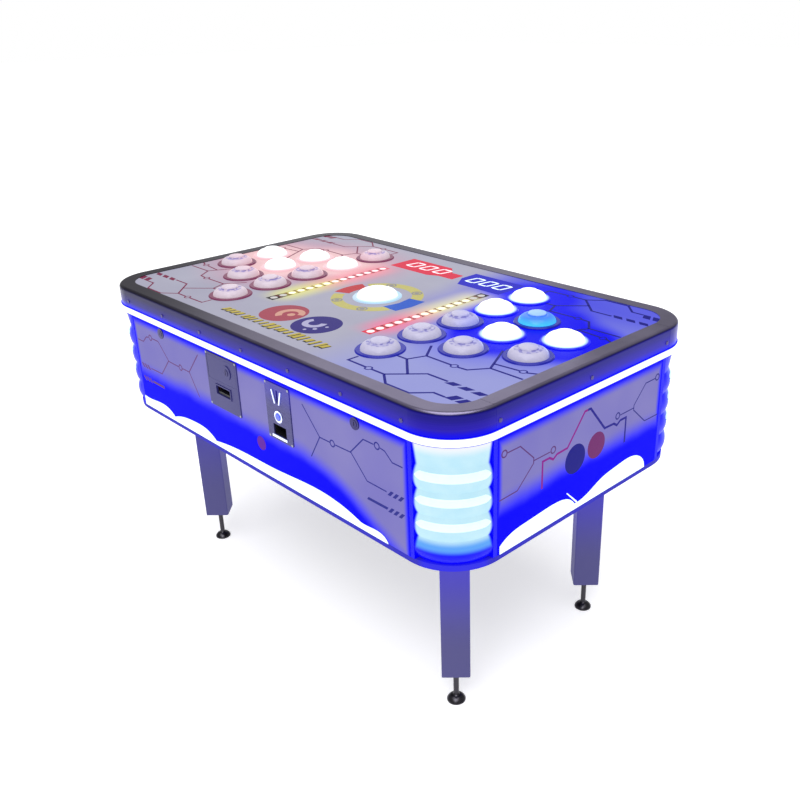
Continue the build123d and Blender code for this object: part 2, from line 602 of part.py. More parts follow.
def button_switches():
    """Under each dome: a ring-shaped lamp board, a return spring and a microswitch with its roller."""
    solids = []
    spring = return_spring()
    lamp_z = HOUSING_FLOOR_TOP + 0.2
    switch_top = STEM_BOTTOM - DOME_TRAVEL - 0.5
    body = block(-4, 24, -5, 5, switch_top - 18, switch_top - 3)
    pins = [block(x - 1.5, x + 1.5, -3, 3, switch_top - 24, switch_top - 18) for x in (0, 10, 20)]
    lever = block(-6, 22, -3, 3, switch_top - 3, switch_top - 2)
    lever += rod_y(0, switch_top - 1.5, -3, 3, 1.5)
    bracket = block(24, 26, -8, 8, switch_top - 16, HOUSING_FLOOR)
    bracket += block(10, 26, -8, 8, HOUSING_FLOOR - 2, HOUSING_FLOOR)
    switch = body + lever + bracket
    for pin in pins:
        switch += pin
    for _, x, y, big in button_places():
        reach = (CENTRE_DOME_RADIUS if big else DOME_RADIUS) - 1.5
        lamps = post(0, 0, lamp_z, lamp_z + 1.6, reach) - post(0, 0, lamp_z - 1, lamp_z + 3, COLLAR_RADIUS)
        solids += [Pos(x, y, 0) * lamps, Pos(x, y, 0) * spring, Pos(x, y, 0) * switch]
    return group(solids)


# ---- Lid hinges, and catches for the lid locks
def lid_hinge_frames():
    """Pads screwed to the rear wall, each with two fixed knuckles and the hinge pin."""
    solids = []
    half, inner = HINGE_WIDTH / 2, 12.0
    for side in (-1, 1):
        x = side * HINGE_X
        pad = block(x - half, x + half, PANEL_BACK_Y, HALF_Y + 2, HINGE_PAD_FOOT, HINGE_AXIS_Z - 8)
        for x0, x1 in ((x - half, x - inner), (x + inner, x + half)):
            pad += block(x0, x1, HALF_Y - 3, HINGE_AXIS_Y, HINGE_AXIS_Z - 12, HINGE_AXIS_Z)
            pad += rod_x(HINGE_AXIS_Y, HINGE_AXIS_Z, x0, x1, KNUCKLE_RADIUS)
        pad -= rod_x(HINGE_AXIS_Y, HINGE_AXIS_Z, x - half - 1, x + half + 1, PIN_RADIUS)
        pin = rod_x(HINGE_AXIS_Y, HINGE_AXIS_Z, x - half - 1, x + half + 1, PIN_RADIUS)
        solids += [pad, pin]
    return group(solids)


def lid_hinge_leaf(x):
    half, inner = HINGE_WIDTH / 2 - 2, 11.5
    leaf = block(x - half, x + half, HALF_Y, HALF_Y + 2, HINGE_AXIS_Z + 5.5, TABLE_HEIGHT - 12)
    leaf += block(x - inner, x + inner, HALF_Y, HINGE_AXIS_Y - 1, HINGE_AXIS_Z, HINGE_AXIS_Z + 6)
    leaf += rod_x(HINGE_AXIS_Y, HINGE_AXIS_Z, x - inner, x + inner, KNUCKLE_RADIUS)
    return leaf - rod_x(HINGE_AXIS_Y, HINGE_AXIS_Z, x - half, x + half, PIN_RADIUS + SLIDING_GAP)


def lid_catch(side):
    """Hook under the lid: the locked cam lies over its lip."""
    reach = CAM_LENGTH + 3
    y0, y1 = -WALL_BACK_Y + 10, -WALL_BACK_Y + 18
    lip_top = LOCK_Z - CAM_HALF_WIDTH - 0.5
    arm = block(-reach - 5, -reach, y0, y1, lip_top - 8, BOARD_BOTTOM)
    lip = block(-reach - 5, -reach + 16, y0, y1, lip_top - 8, lip_top)
    foot = block(-reach - 26, -reach + 10, y0, y1 + 10, BOARD_BOTTOM - 3, BOARD_BOTTOM)
    hook = arm + lip + foot
    if side < 0:
        hook = mirror(hook, Plane.YZ)
    return Pos(side * LOCK_X, 0, 0) * hook


def lid_hinges_and_catches():
    leaves = [lid_hinge_leaf(side * HINGE_X) for side in (-1, 1)]
    return group([*leaves, lid_catch(-1), lid_catch(1)])


# ---- Cam locks for the lid
def lock_barrels():
    face, back = -BODY_Y, -WALL_BACK_Y
    solids = []
    for side in (-1, 1):
        x = side * LOCK_X
        barrel = rod_y(x, LOCK_Z, face - 2, face, LOCK_BEZEL)
        barrel += rod_y(x, LOCK_Z, face, back + 11, LOCK_BARREL)
        barrel -= rod_y(x, LOCK_Z, face - 3, back + 12, LOCK_PLUG + SLIDING_GAP)
        nut = rod_y(x, LOCK_Z, back, back + 5, LOCK_BARREL + 4)
        nut -= rod_y(x, LOCK_Z, back - 1, back + 6, LOCK_BARREL + 0.05)
        solids += [barrel, nut]
    return group(solids)


def cam_plug(x, z, face, back, radius, cam):
    """Lock plug with a key slot in its face and a cam blade on its inner end."""
    plug = rod_y(x, z, face, back + CAM_THICKNESS + 0.3, radius)
    plug -= block(x - 0.8, x + 0.8, face - 1, face + 3, z - radius + 3, z + radius - 3)
    return plug + cam


def lid_lock(side):
    """Drawn unlocked, with the cam standing up."""
    x, back = side * LOCK_X, -WALL_BACK_Y + 11.3
    foot, tip = LOCK_Z - CAM_HALF_WIDTH, LOCK_Z + CAM_LENGTH
    cam = block(x - CAM_HALF_WIDTH, x + CAM_HALF_WIDTH, back, back + CAM_THICKNESS, foot, tip)
    return cam_plug(x, LOCK_Z, -BODY_Y - 2.6, back, LOCK_PLUG, cam)


# ---- Coin acceptor
def plate_screw_places():
    places = []
    for centre_x, centre_z, size in ((COIN_X, COIN_Z, COIN_SIZE), (TICKET_X, TICKET_Z, TICKET_SIZE)):
        reach, rise = size[0] / 2 - 3.6, size[1] / 2 - 3.6
        places += [(centre_x + sx * reach, centre_z + sz * rise) for sx in (-1, 1) for sz in (-1, 1)]
    return places


def front_plate(centre_x, centre_z, size):
    """Steel plate on the printed panel, with rounded corners and its four screw holes."""
    plane = Plane(origin=(centre_x, -BODY_Y, centre_z), x_dir=(1, 0, 0), z_dir=(0, -1, 0))
    plate = extrude(plane * RectangleRounded(*size, 3), PLATE_PROUD)
    plate = chamfer(plate.faces().sort_by(Axis.Y)[0].edges(), 0.8)
    for x, z in plate_screw_places():
        plate -= rod_y(x, z, -BODY_Y - PLATE_PROUD, -BODY_Y - PLATE_PROUD + 1.2, SCREW_HEAD + 0.05)
        plate -= rod_y(x, z, -BODY_Y - PLATE_PROUD, -BODY_Y + 1, SCREW_SHANK + 0.05)
    return plate


def coin_passages():
    """Everything that is hollow in the coin acceptor: slot, drop chute, reject bore and return cup."""
    front = -BODY_Y - 10
    half_slot, slot_rise = COIN_SLOT[0] / 2, COIN_SLOT[1] / 2
    low, high = COIN_SLOT_Z - slot_rise, COIN_SLOT_Z + slot_rise
    slot = block(COIN_X - half_slot, COIN_X + half_slot, front, SLOT_BACK_Y, low, high)
    half_chute = CHUTE_WIDTH / 2
    chute = block(COIN_X - half_chute, COIN_X + half_chute, CHUTE_FRONT_Y, SLOT_BACK_Y, CHUTE_FOOT_Z, high)
    bore = rod_y(COIN_X, REJECT_Z, front, REJECT_BORE_Y, REJECT_RADIUS)
    half_cup, cup_rise = RETURN_SIZE[0] / 2, RETURN_SIZE[1] / 2
    low, high = RETURN_Z - cup_rise, RETURN_Z + cup_rise
    cup = block(COIN_X - half_cup, COIN_X + half_cup, front, CUP_BACK_Y, low, high)
    return slot + chute + bore + cup


def coin_faceplate():
    """Plate with a guide funnel round the slot, a ring round the reject button and a chute lip."""
    face = -BODY_Y - PLATE_PROUD
    plate = front_plate(COIN_X, COIN_Z, COIN_SIZE)
    for side in (-1, 1):
        rib = Box(3, 4, 30)
        lean = Pos(COIN_X + side * 11, face - 0.5, COIN_SLOT_Z) * Rot(0, side * 16, 0)
        plate += lean * rib
    plate += rod_y(COIN_X, REJECT_Z, face - 1.5, face, REJECT_RADIUS + 4)
    half_cup = RETURN_SIZE[0] / 2
    lip_z = RETURN_Z - RETURN_SIZE[1] / 2
    plate += block(COIN_X - half_cup - 3, COIN_X + half_cup + 3, face - 2.5, face, lip_z - 5, lip_z)
    return plate - coin_passages()


def coin_mechanism():
    """Acceptor body behind the plate, with its gate coil and sensor board on the back."""
    half = COIN_SIZE[0] / 2 - 6
    rise = COIN_SIZE[1] / 2 - 6
    back = MECHANISM_BACK_Y
    body = block(COIN_X - half, COIN_X + half, -BODY_Y, back, COIN_Z - rise, COIN_Z + rise)
    coil = rod_y(COIN_X + 24, COIN_Z + 10, back, back + 14, 11)
    board = block(COIN_X - half + 4, COIN_X - 8, back, back + 4, COIN_Z - rise + 8, COIN_Z + rise - 8)
    return body + coil + board - coin_passages()


def coin_reject_button():
    """Plunger of the coin reject, drawn out; its bore is deeper than it by its travel and a little."""
    face = -BODY_Y - PLATE_PROUD - 3.5
    tail = REJECT_BORE_Y - 2 * REJECT_TRAVEL
    button = rod_y(COIN_X, REJECT_Z, face, tail, REJECT_RADIUS - SLIDING_GAP)
    return fillet(button.edges().sort_by(Axis.Y)[0], 2)


# ---- Ticket plate, its locked door and the dispenser behind
def access_plate():
    """Plate with the opening of the locked door above and the framed ticket mouth below."""
    face = -BODY_Y - PLATE_PROUD
    plate = front_plate(TICKET_X, TICKET_Z, TICKET_SIZE)
    x, y = door_axis()
    reach, rise = DOOR_SIZE[0] / 2 + 0.4, DOOR_SIZE[1] / 2 + 0.4
    plate -= block(TICKET_X - reach, TICKET_X + reach, face - 1, -BODY_Y + 1, DOOR_Z - rise, DOOR_Z + rise)
    half_mouth, lip = MOUTH_SIZE[0] / 2, MOUTH_SIZE[1] / 2
    left, right = TICKET_X - half_mouth, TICKET_X + half_mouth
    plate += block(left - 3, right + 3, face - 1.5, face, MOUTH_Z - lip - 3, MOUTH_Z + lip + 3)
    plate -= block(left, right, face - 5, -BODY_Y + 1, MOUTH_Z - lip, MOUTH_Z + lip)
    return plate - post(x, y, DOOR_Z - rise - 3, DOOR_Z + rise + 3, DOOR_PIN + SLIDING_GAP)


def door_axis():
    return TICKET_X - DOOR_SIZE[0] / 2 + 1.5, -BODY_Y - PLATE_PROUD / 2


def access_door():
    """Door with trunnion pins on its left edge and the barrel of its lock."""
    face = -BODY_Y - PLATE_PROUD
    x, y = door_axis()
    right = TICKET_X + DOOR_SIZE[0] / 2
    z0, z1 = DOOR_Z - DOOR_SIZE[1] / 2, DOOR_Z + DOOR_SIZE[1] / 2
    door = block(x, right, face, -BODY_Y, z0, z1) + post(x, y, z0, z1, PLATE_PROUD / 2)
    door += post(x, y, z0 - 2.8, z1 + 2.8, DOOR_PIN)
    barrel = DOOR_LOCK_PLUG + 3
    door += rod_y(DOOR_LOCK_X, DOOR_LOCK_Z, face - 1.5, face, barrel + 5)
    door += rod_y(DOOR_LOCK_X, DOOR_LOCK_Z, face, -WALL_BACK_Y + 2, barrel)
    bore = DOOR_LOCK_PLUG + SLIDING_GAP
    return door - rod_y(DOOR_LOCK_X, DOOR_LOCK_Z, face - 3, -WALL_BACK_Y + 3, bore)


def access_door_lock():
    """Drawn unlocked, with the cam pointing at the hinge."""
    back = -WALL_BACK_Y + 2.3
    x, z = DOOR_LOCK_X, DOOR_LOCK_Z
    cam = block(x - 32, x + 8, back, back + CAM_THICKNESS, z - 7, z + 7)
    return cam_plug(x, z, -BODY_Y - PLATE_PROUD - 2.3, back, DOOR_LOCK_PLUG, cam)


def ticket_dispenser():
    """Drive unit with its paper slot, a stepper motor on its side and a nose that reaches the mouth."""
    y0, y1 = -WALL_BACK_Y, DISPENSER_BACK_Y
    body = block(TICKET_X - 33, TICKET_X + 33, y0, y1, MOUTH_Z - 37, MOUTH_Z + 17)
    half_mouth = MOUTH_SIZE[0] / 2 - 0.5
    left, right = TICKET_X - half_mouth, TICKET_X + half_mouth
    nose = block(left, right, -BODY_Y - 1, y0, MOUTH_Z - 9.5, MOUTH_Z - 4)
    half_strip = TICKET_STRIP / 2
    left, right = TICKET_X - half_strip, TICKET_X + half_strip
    slot = block(left, right, -BODY_Y - 3, y1 + 1, MOUTH_Z - 4, MOUTH_Z + 3)
    motor = rod_x(-295, MOUTH_Z - 18, TICKET_X + 33, TICKET_X + 55, 17)
    return body + nose + motor - slot


def cash_box():
    """Open tray under the coin chute, long enough to be emptied through the ticket plate's door."""
    (x0, x1), (y0, y1), sheet = CASH_BOX_X, CASH_BOX_Y, CASH_BOX_SHEET
    low = BASE_TOP + 0.2
    tray = block(x0, x1, y0, y1, low, CASH_BOX_TOP)
    return tray - block(x0 + sheet, x1 - sheet, y0 + sheet, y1 - sheet, low + sheet, CASH_BOX_TOP + 1)


# ---- Electrics inside, and the mains inlet on the rear
def power_supply():
    """Ventilated steel case with a terminal strip along one end."""
    half_x, half_y = SUPPLY_SIZE[0] / 2, SUPPLY_SIZE[1] / 2
    low, high, end = BASE_TOP, BASE_TOP + SUPPLY_SIZE[2], SUPPLY_X + half_x
    case = block(SUPPLY_X - half_x, end, SUPPLY_Y - half_y, SUPPLY_Y + half_y, low, high)
    room_x, room_y = half_x - SUPPLY_SHEET, half_y - SUPPLY_SHEET
    room_top = high - SUPPLY_LID
    room = block(-room_x, room_x, -room_y, room_y, low + SUPPLY_SHEET, room_top)
    case -= Pos(SUPPLY_X, SUPPLY_Y, 0) * room
    for slot in range(9):
        x = SUPPLY_X - 72 + 18 * slot
        case -= block(x - 3, x + 3, SUPPLY_Y - 35, SUPPLY_Y + 35, room_top - 1, high + 1)
    terminals = block(end, end + 16, SUPPLY_Y - 45, SUPPLY_Y + 45, low, low + 20)
    for step in range(7):
        y = SUPPLY_Y - 39 + 13 * step
        terminals -= post(end + 8, y, low + 12, low + 21, 3.5)
    return case + terminals


def controller_board():
    """Circuit board on four stand-offs, with a chip, capacitors and a row of lamp connectors."""
    low, face = BASE_TOP + 10, BASE_TOP + 12
    half_x, half_y = CONTROLLER_SIZE[0] / 2, CONTROLLER_SIZE[1] / 2
    parts = block(-half_x, half_x, -half_y, half_y, low, face)
    for sx, sy in CORNERS:
        parts += post(sx * (half_x - 7), sy * (half_y - 7), BASE_TOP, low, 4)
    parts += block(-20, 10, -15, 15, face, face + 4)
    for step in range(6):
        x = -75 + 30 * step
        parts += block(x - 11, x + 11, 44, 54, face, face + 11)
    for step in range(3):
        parts += post(50, -30 + 22 * step, face, face + 20, 8)
    return Pos(CONTROLLER_X, CONTROLLER_Y, 0) * parts


def speaker():
    """Face-down loudspeaker: basket, magnet and cone over the base board's grille holes."""
    low = BASE_TOP
    basket = turned(
        Polyline(
            (46, low),
            (56, low),
            (56, low + 4),
            (48, low + 6),
            (28, low + 30),
            (28, low + 34),
            (0, low + 34),
            (0, low + 22),
            (22, low + 22),
            (43, low + 5),
            close=True,
        )
    )
    basket += post(0, 0, low + 34, low + 50, 33)
    return Pos(SPEAKER_X, SPEAKER_Y, 0) * basket


def rocker_axis():
    return INLET_Z + 17.0, BODY_Y + 0.5


def inlet_block(half_width, y0, y1, z0, z1, x=0.0):
    """Block centred on the inlet's middle line, with heights from the inlet's centre."""
    return block(INLET_X + x - half_width, INLET_X + x + half_width, y0, y1, INLET_Z + z0, INLET_Z + z1)


def mains_inlet():
    """Plate with a three-pin inlet socket below and the frame of the power switch above."""
    half_width, half_height = INLET_SIZE[0] / 2, INLET_SIZE[1] / 2
    inlet = inlet_block(half_width, BODY_Y, BODY_Y + 2, -half_height, half_height)
    inlet += inlet_block(half_width - 6.3, BODY_Y - 30, BODY_Y, 6.3 - half_height, half_height - 6.3)
    inlet -= inlet_block(13, BODY_Y - 16, BODY_Y + 3, -22, -4)
    for x, z in ((-7, -12), (7, -12), (0, -16)):
        inlet += inlet_block(1, BODY_Y - 17, BODY_Y - 3, z - 2, z + 2, x)
    axis_z = rocker_axis()[0] - INLET_Z
    return inlet - inlet_block(12, BODY_Y - 14, BODY_Y + 3, axis_z - 8.5, axis_z + 8.5)


def power_rocker():
    """Rocker drawn in its off position, tipped one way by the switch's half travel."""
    axis_z, axis_y = rocker_axis()
    paddle = Pos(0, 2.5, 0) * Box(22.4, 5, 14.4)
    paddle += rod_x(0, 0, -11.2, 11.2, 2.4)
    return Pos(INLET_X, axis_y, axis_z) * Rot(ROCKER_TILT, 0, 0) * paddle


# ---- Every separate piece, by name
def pieces():
    small_cap, large_cap = dome_cap(DOME_RADIUS), dome_cap(CENTRE_DOME_RADIUS)
    nodes = {
        "base_board": base_board(),
        "carcass_frame": carcass_frame(),
        "front_graphic_panel": front_graphic_panel(),
        "rear_graphic_panel": rear_graphic_panel(),
        "end_graphic_panels": end_graphic_panels(),
        "corner_light_covers": corner_light_covers(),
        "lower_light_panels": lower_light_panels(),
        "light_strips": light_strips(),
        "legs": group([leg(sx, sy) for sx, sy in CORNERS]),
        "cabinet_fasteners": cabinet_fasteners(),
        "playfield_board": playfield_board(),
        "playfield_sheet": playfield_sheet(),
        "steel_rim": steel_rim(),
        "rim_screws": rim_screws(),
        "led_displays": led_displays(),
        "button_housings": button_housings(),
        "button_switches": button_switches(),
        "lid_hinge_frames": lid_hinge_frames(),
        "lid_hinges_and_catches": lid_hinges_and_catches(),
        "lock_barrels": lock_barrels(),
        "lid_lock_left": lid_lock(-1),
        "lid_lock_right": lid_lock(1),
        "coin_faceplate": coin_faceplate(),
        "coin_mechanism": coin_mechanism(),
        "coin_reject_button": coin_reject_button(),
        "access_plate": access_plate(),
        "access_door": access_door(),
        "access_door_lock": access_door_lock(),
        "ticket_dispenser": ticket_dispenser(),
        "cash_box": cash_box(),
        "power_supply": power_supply(),
        "controller_board": controller_board(),
        "speaker": speaker(),
        "mains_inlet": mains_inlet(),
        "power_rocker": power_rocker(),
    }
    corner_names = ("front_right", "rear_right", "rear_left", "front_left")
    for name, (sx, sy) in zip(corner_names, CORNERS):
        nodes[f"levelling_foot_{name}"] = levelling_foot(sx, sy)
    for name, x, y, big in button_places():
        nodes[name] = Pos(x, y, 0) * (large_cap if big else small_cap)
    return nodes


if __name__ == "__main__":
    os.makedirs("parts", exist_ok=True)
    for node_name, shape in pieces().items():
        export_step(shape, f"parts/{node_name}.step")
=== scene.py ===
"""Looks of the dome-button game table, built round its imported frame. Metres, +Z up, coin side at -Y."""

import random
from math import atan2, cos, pi, radians, sin

import bmesh
import bpy
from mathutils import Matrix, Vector


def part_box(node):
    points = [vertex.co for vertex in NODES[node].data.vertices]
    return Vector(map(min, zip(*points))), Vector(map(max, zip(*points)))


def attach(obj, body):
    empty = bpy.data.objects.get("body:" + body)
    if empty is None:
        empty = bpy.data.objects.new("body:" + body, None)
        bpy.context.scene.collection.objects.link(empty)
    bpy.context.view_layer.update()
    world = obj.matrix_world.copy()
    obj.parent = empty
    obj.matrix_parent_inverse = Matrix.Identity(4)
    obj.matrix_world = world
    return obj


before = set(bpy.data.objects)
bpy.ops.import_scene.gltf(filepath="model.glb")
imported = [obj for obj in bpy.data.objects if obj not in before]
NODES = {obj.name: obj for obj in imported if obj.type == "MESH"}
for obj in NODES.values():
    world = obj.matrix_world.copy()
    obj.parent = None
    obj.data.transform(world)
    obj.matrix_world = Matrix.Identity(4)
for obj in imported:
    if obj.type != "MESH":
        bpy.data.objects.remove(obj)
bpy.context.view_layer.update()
random.seed(7)

MM = 0.001
INK = 0.00015  # printed graphics stand this far off their panel


# ---- Colours
def srgb(red, green, blue):
    """Display values 0-255 as the linear colour that Blender wants."""
    linear = [((c / 255 + 0.055) / 1.055) ** 2.4 if c > 10 else c / 3295 for c in (red, green, blue)]
    return (*linear, 1.0)


DEEP_BLUE = srgb(4, 0, 255)
BLACK = (0, 0, 0, 1)
WHITE = srgb(250, 252, 255)


# ---- Node materials
class Shader:
    """A principled material and the node graph that feeds it."""

    def __init__(self, name, base=(0.5, 0.5, 0.5, 1), rough=0.5, metal=0.0, **sockets):
        self.material = bpy.data.materials.new(name)
        self.material.use_nodes = True
        self.tree = self.material.node_tree
        self.principled = self.tree.nodes["Principled BSDF"]
        self.feed(base, self.principled.inputs["Base Color"])
        self.feed(rough, self.principled.inputs["Roughness"])
        self.principled.inputs["Metallic"].default_value = metal
        for socket, value in sockets.items():
            self.principled.inputs[socket.replace("_", " ")].default_value = value

    def feed(self, value, socket):
        if isinstance(value, bpy.types.NodeSocket):
            self.tree.links.new(value, socket)
        else:
            socket.default_value = value

    def base(self, value):
        self.feed(value, self.principled.inputs["Base Color"])

    def rough(self, value):
        self.feed(value, self.principled.inputs["Roughness"])

    def glow(self, colour, strength=1.0):
        self.feed(colour, self.principled.inputs["Emission Color"])
        self.principled.inputs["Emission Strength"].default_value = strength

    def node(self, kind, **settings):
        made = self.tree.nodes.new(kind)
        for key, value in settings.items():
            setattr(made, key, value)
        return made

    def place(self):
        """Position in the table's own frame."""
        return self.node("ShaderNodeTexCoord").outputs["Object"]

    def axes(self):
        split = self.node("ShaderNodeSeparateXYZ")
        self.feed(self.place(), split.inputs[0])
        return split.outputs

    def math(self, operation, a, b=0.0, c=0.0):
        made = self.node("ShaderNodeMath", operation=operation)
        for socket, value in zip(made.inputs, (a, b, c)):
            self.feed(value, socket)
        return made.outputs[0]

    def ease(self, value, low, high):
        """0 at low and 1 at high, smoothly."""
        made = self.node("ShaderNodeMapRange", interpolation_type="SMOOTHSTEP")
        self.feed(value, made.inputs[0])
        made.inputs[1].default_value, made.inputs[2].default_value = low, high
        return made.outputs[0]

    def mix(self, factor, a, b):
        made = self.node("ShaderNodeMix", data_type="RGBA")
        self.feed(factor, made.inputs[0])
        self.feed(a, made.inputs[6])
        self.feed(b, made.inputs[7])
        return made.outputs[2]

    def scaled(self, colour, amount):
        made = self.node("ShaderNodeMix", data_type="RGBA", blend_type="MULTIPLY")
        made.inputs[0].default_value = 1.0
        self.feed(colour, made.inputs[6])
        made.inputs[7].default_value = (amount, amount, amount, 1)
        return made.outputs[2]

    def noise(self, scale, detail=3.0, stretch=(1, 1, 1)):
        mapping = self.node("ShaderNodeMapping")
        self.feed(self.place(), mapping.inputs["Vector"])
        mapping.inputs["Scale"].default_value = stretch
        made = self.node("ShaderNodeTexNoise")
        self.feed(mapping.outputs[0], made.inputs["Vector"])
        made.inputs["Scale"].default_value = scale
        made.inputs["Detail"].default_value = detail
        return made.outputs[0]

    def ramp(self, value, *stops):
        made = self.node("ShaderNodeValToRGB")
        self.feed(value, made.inputs[0])
        elements = made.color_ramp.elements
        while len(elements) < len(stops):
            elements.new(0.5)
        for element, (position, colour) in zip(elements, stops):
            element.position, element.color = position, colour
        return made.outputs[0]

    def bump(self, height, strength=0.3, distance=0.0005):
        made = self.node("ShaderNodeBump")
        made.inputs["Strength"].default_value = strength
        made.inputs["Distance"].default_value = distance
        self.feed(height, made.inputs["Height"])
        self.feed(made.outputs[0], self.principled.inputs["Normal"])

    def past_corner(self):
        """How far a point is past the centre of the nearest body corner, along X and along Y."""
        axes = self.axes()
        past_x = self.math("SUBTRACT", self.math("ABSOLUTE", axes[0]), END_X - CORNER)
        past_y = self.math("SUBTRACT", self.math("ABSOLUTE", axes[1]), -FRONT_Y - CORNER)
        return past_x, past_y

    def nearest(self, points, blend=0.05):
        """Distance in plan to the nearest of several points, with soft meetings."""
        flat = self.node("ShaderNodeVectorMath", operation="MULTIPLY")
        self.feed(self.place(), flat.inputs[0])
        flat.inputs[1].default_value = (1, 1, 0)
        reach = None
        for x, y in points:
            gap = self.node("ShaderNodeVectorMath", operation="DISTANCE")
            self.feed(flat.outputs[0], gap.inputs[0])
            gap.inputs[1].default_value = (x, y, 0)
            distance = gap.outputs["Value"]
            reach = distance if reach is None else self.math("SMOOTH_MIN", reach, distance, blend)
        return reach


def paint(shader, *names):
    for name in names:
        mesh = NODES[name].data
        mesh.materials.clear()
        mesh.materials.append(shader.material)


# ---- Where things are
def plan_centre(name):
    low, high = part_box(name)
    return (low.x + high.x) / 2, (low.y + high.y) / 2


DOMES = sorted(name for name in NODES if name.startswith("dome_"))
CENTRES = {name: plan_centre(name) for name in DOMES}
SHEET_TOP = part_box("playfield_sheet")[1].z
FRONT_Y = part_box("front_graphic_panel")[0].y
END_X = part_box("end_graphic_panels")[1].x
PANEL_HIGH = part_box("front_graphic_panel")[1].z
CORNER = 0.1  # plan radius of the body's corners
BAR_X = 0.172  # the two lamp bars stand this far either side of the middle
WAVE_HEIGHT = 0.532  # the blue at the foot of a side panel reaches up to here
COVER_FOOT = 0.469  # foot of the corner covers' milky part
COVER_HEAD = 0.684  # the strip's light floods the covers down from here
# Painted shade: the dark marks stand in for the shade inside the slots round a dome's crown.
CROWN_SLOT_SHADE = 0.0156, 0.0192  # dark marks round a dome's crown, above the playfield


def domes_near(*spots):
    """Names of the domes that stand at these places, given in millimetres."""
    def nearest_dome(x, y):
        spot = Vector((x, y)) * MM
        return min(DOMES, key=lambda name: (Vector(CENTRES[name]) - spot).length)

    return [nearest_dome(x, y) for x, y in spots]


LIT_BLUE = domes_near((267, 111), (267, 222), (384, 0), (501, 55))
HALF_BLUE = domes_near((384, 111))
LIT_RED = domes_near((-501, 55), (-384, 0), (-384, 111), (-267, 111))
LIT_CENTRE = ["dome_centre"]
BLUE_POINTS = [CENTRES[name] for name in LIT_BLUE + HALF_BLUE]
RED_POINTS = [CENTRES[name] for name in LIT_RED]


# ---- Materials of the body
def body_panel(name, along, span, tail=0.0):
    """Edge-lit printed panel: lavender in the middle and deep blue towards its lit edges.

    along is 0 for a panel whose length runs along X and 1 along Y; span is its half length. tail makes
    the blue at the foot die away towards that end.
    """
    shader = Shader(name, rough=0.45, Specular_IOR_Level=0.015)
    axes = shader.axes()
    height = axes[2]
    wave = shader.noise(9.0, 2.0)
    level = shader.math("MULTIPLY_ADD", wave, 0.022, WAVE_HEIGHT)
    if tail:
        run = shader.math("MULTIPLY", axes[along], 1 if tail > 0 else -1)
        fall = shader.math("POWER", shader.ease(run, 0.16, 0.56), 1.2)
        level = shader.math("SUBTRACT", level, shader.math("MULTIPLY", fall, 0.13))
    above = shader.math("SUBTRACT", height, level)
    foot = shader.math("SUBTRACT", 1.0, shader.ease(above, -0.022, 0.036))
    head = shader.ease(height, PANEL_HIGH - 0.030, PANEL_HIGH - 0.006)
    edge = shader.ease(shader.math("ABSOLUTE", axes[along]), span - 0.016, span - 0.001)
    blue = shader.math("MAXIMUM", shader.math("MAXIMUM", foot, head), edge)
    patch = shader.noise(7.0, 2.0)
    middle = shader.mix(patch, srgb(114, 109, 184), srgb(136, 131, 186))
    colour = shader.mix(blue, middle, DEEP_BLUE)
    shader.base(shader.scaled(colour, 0.25))
    shader.glow(colour, 0.86)
    shader.bump(shader.noise(900.0, 2.0), 0.08)
    return shader


def corner_cover_shader():
    """Milky shell lit from behind: deep blue at its foot and flat edges, with painted shade making two
    corners bluer.
    """
    shader = Shader("corner_cover_glow", rough=0.35, Specular_IOR_Level=0.12)
    axes = shader.axes()
    height = axes[2]
    cloud = shader.noise(35.0, 3.0)
    shade = shader.mix(cloud, srgb(184, 232, 252), srgb(210, 245, 255))
    lower = shader.ease(height, COVER_FOOT + 0.029, COVER_FOOT + 0.015)
    shade = shader.mix(lower, shade, srgb(96, 168, 252))
    foot = shader.ease(height, COVER_FOOT + 0.013, COVER_FOOT)
    shade = shader.mix(shader.ease(height, COVER_HEAD - 0.024, COVER_HEAD), shade, WHITE)
    inward = shader.math("MINIMUM", *shader.past_corner())
    # Painted shade: the covers at -X-Y and +X+Y are made deeper blue, with dim flat sides and a blue head,
    # though all four covers are alike.
    turned_away = shader.ease(shader.math("MULTIPLY", axes[0], axes[1]), -0.01, 0.01)
    dim = shader.ease(inward, 0.060, 0.012)
    edge = shader.ease(inward, 0.0085, 0.0015)
    flange = shader.math("MAXIMUM", edge, shader.math("MULTIPLY", dim, turned_away))
    head = shader.ease(height, COVER_HEAD - 0.004, COVER_HEAD + 0.002)
    head = shader.math("MULTIPLY", head, turned_away)
    blue = shader.math("MAXIMUM", shader.math("MAXIMUM", foot, head), flange)
    shade = shader.mix(shader.math("MULTIPLY", turned_away, 0.82), shade, srgb(12, 32, 252))
    colour = shader.mix(blue, shade, DEEP_BLUE)
    shader.base(shader.scaled(colour, 0.12))
    shader.glow(colour, 0.84)
    return shader


def strip_shader():
    """Lit tube along the body's top edge: white core, deep blue at its upper and lower edges."""
    shader = Shader("light_strip_glow", rough=0.3, Specular_IOR_Level=0.2)
    height = shader.axes()[2]
    low, high = PANEL_HIGH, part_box("light_strips")[1].z
    rise = shader.ease(height, low + 0.0003, low + 0.0020)
    fall = shader.ease(height, high - 0.0004, high - 0.0022)
    core = shader.math("MULTIPLY", rise, fall)
    beads = shader.mix(shader.noise(70.0, 1.0), srgb(236, 244, 255), WHITE)
    colour = shader.mix(core, DEEP_BLUE, beads)
    shader.base(shader.scaled(colour, 0.3))
    shader.glow(colour, 1.15)
    return shader


def lamp(name, colour, strength, rough=0.3):
    """A part that is lit from inside, with faint unevenness over it."""
    shader = Shader(name, rough=rough, Specular_IOR_Level=0.2)
    dimmer = tuple(c * 0.86 for c in colour[:3]) + (1,)
    shade = shader.mix(shader.noise(60.0, 2.0), dimmer, colour)
    shader.base(shader.scaled(shade, 0.3))
    shader.glow(shade, strength)
    return shader


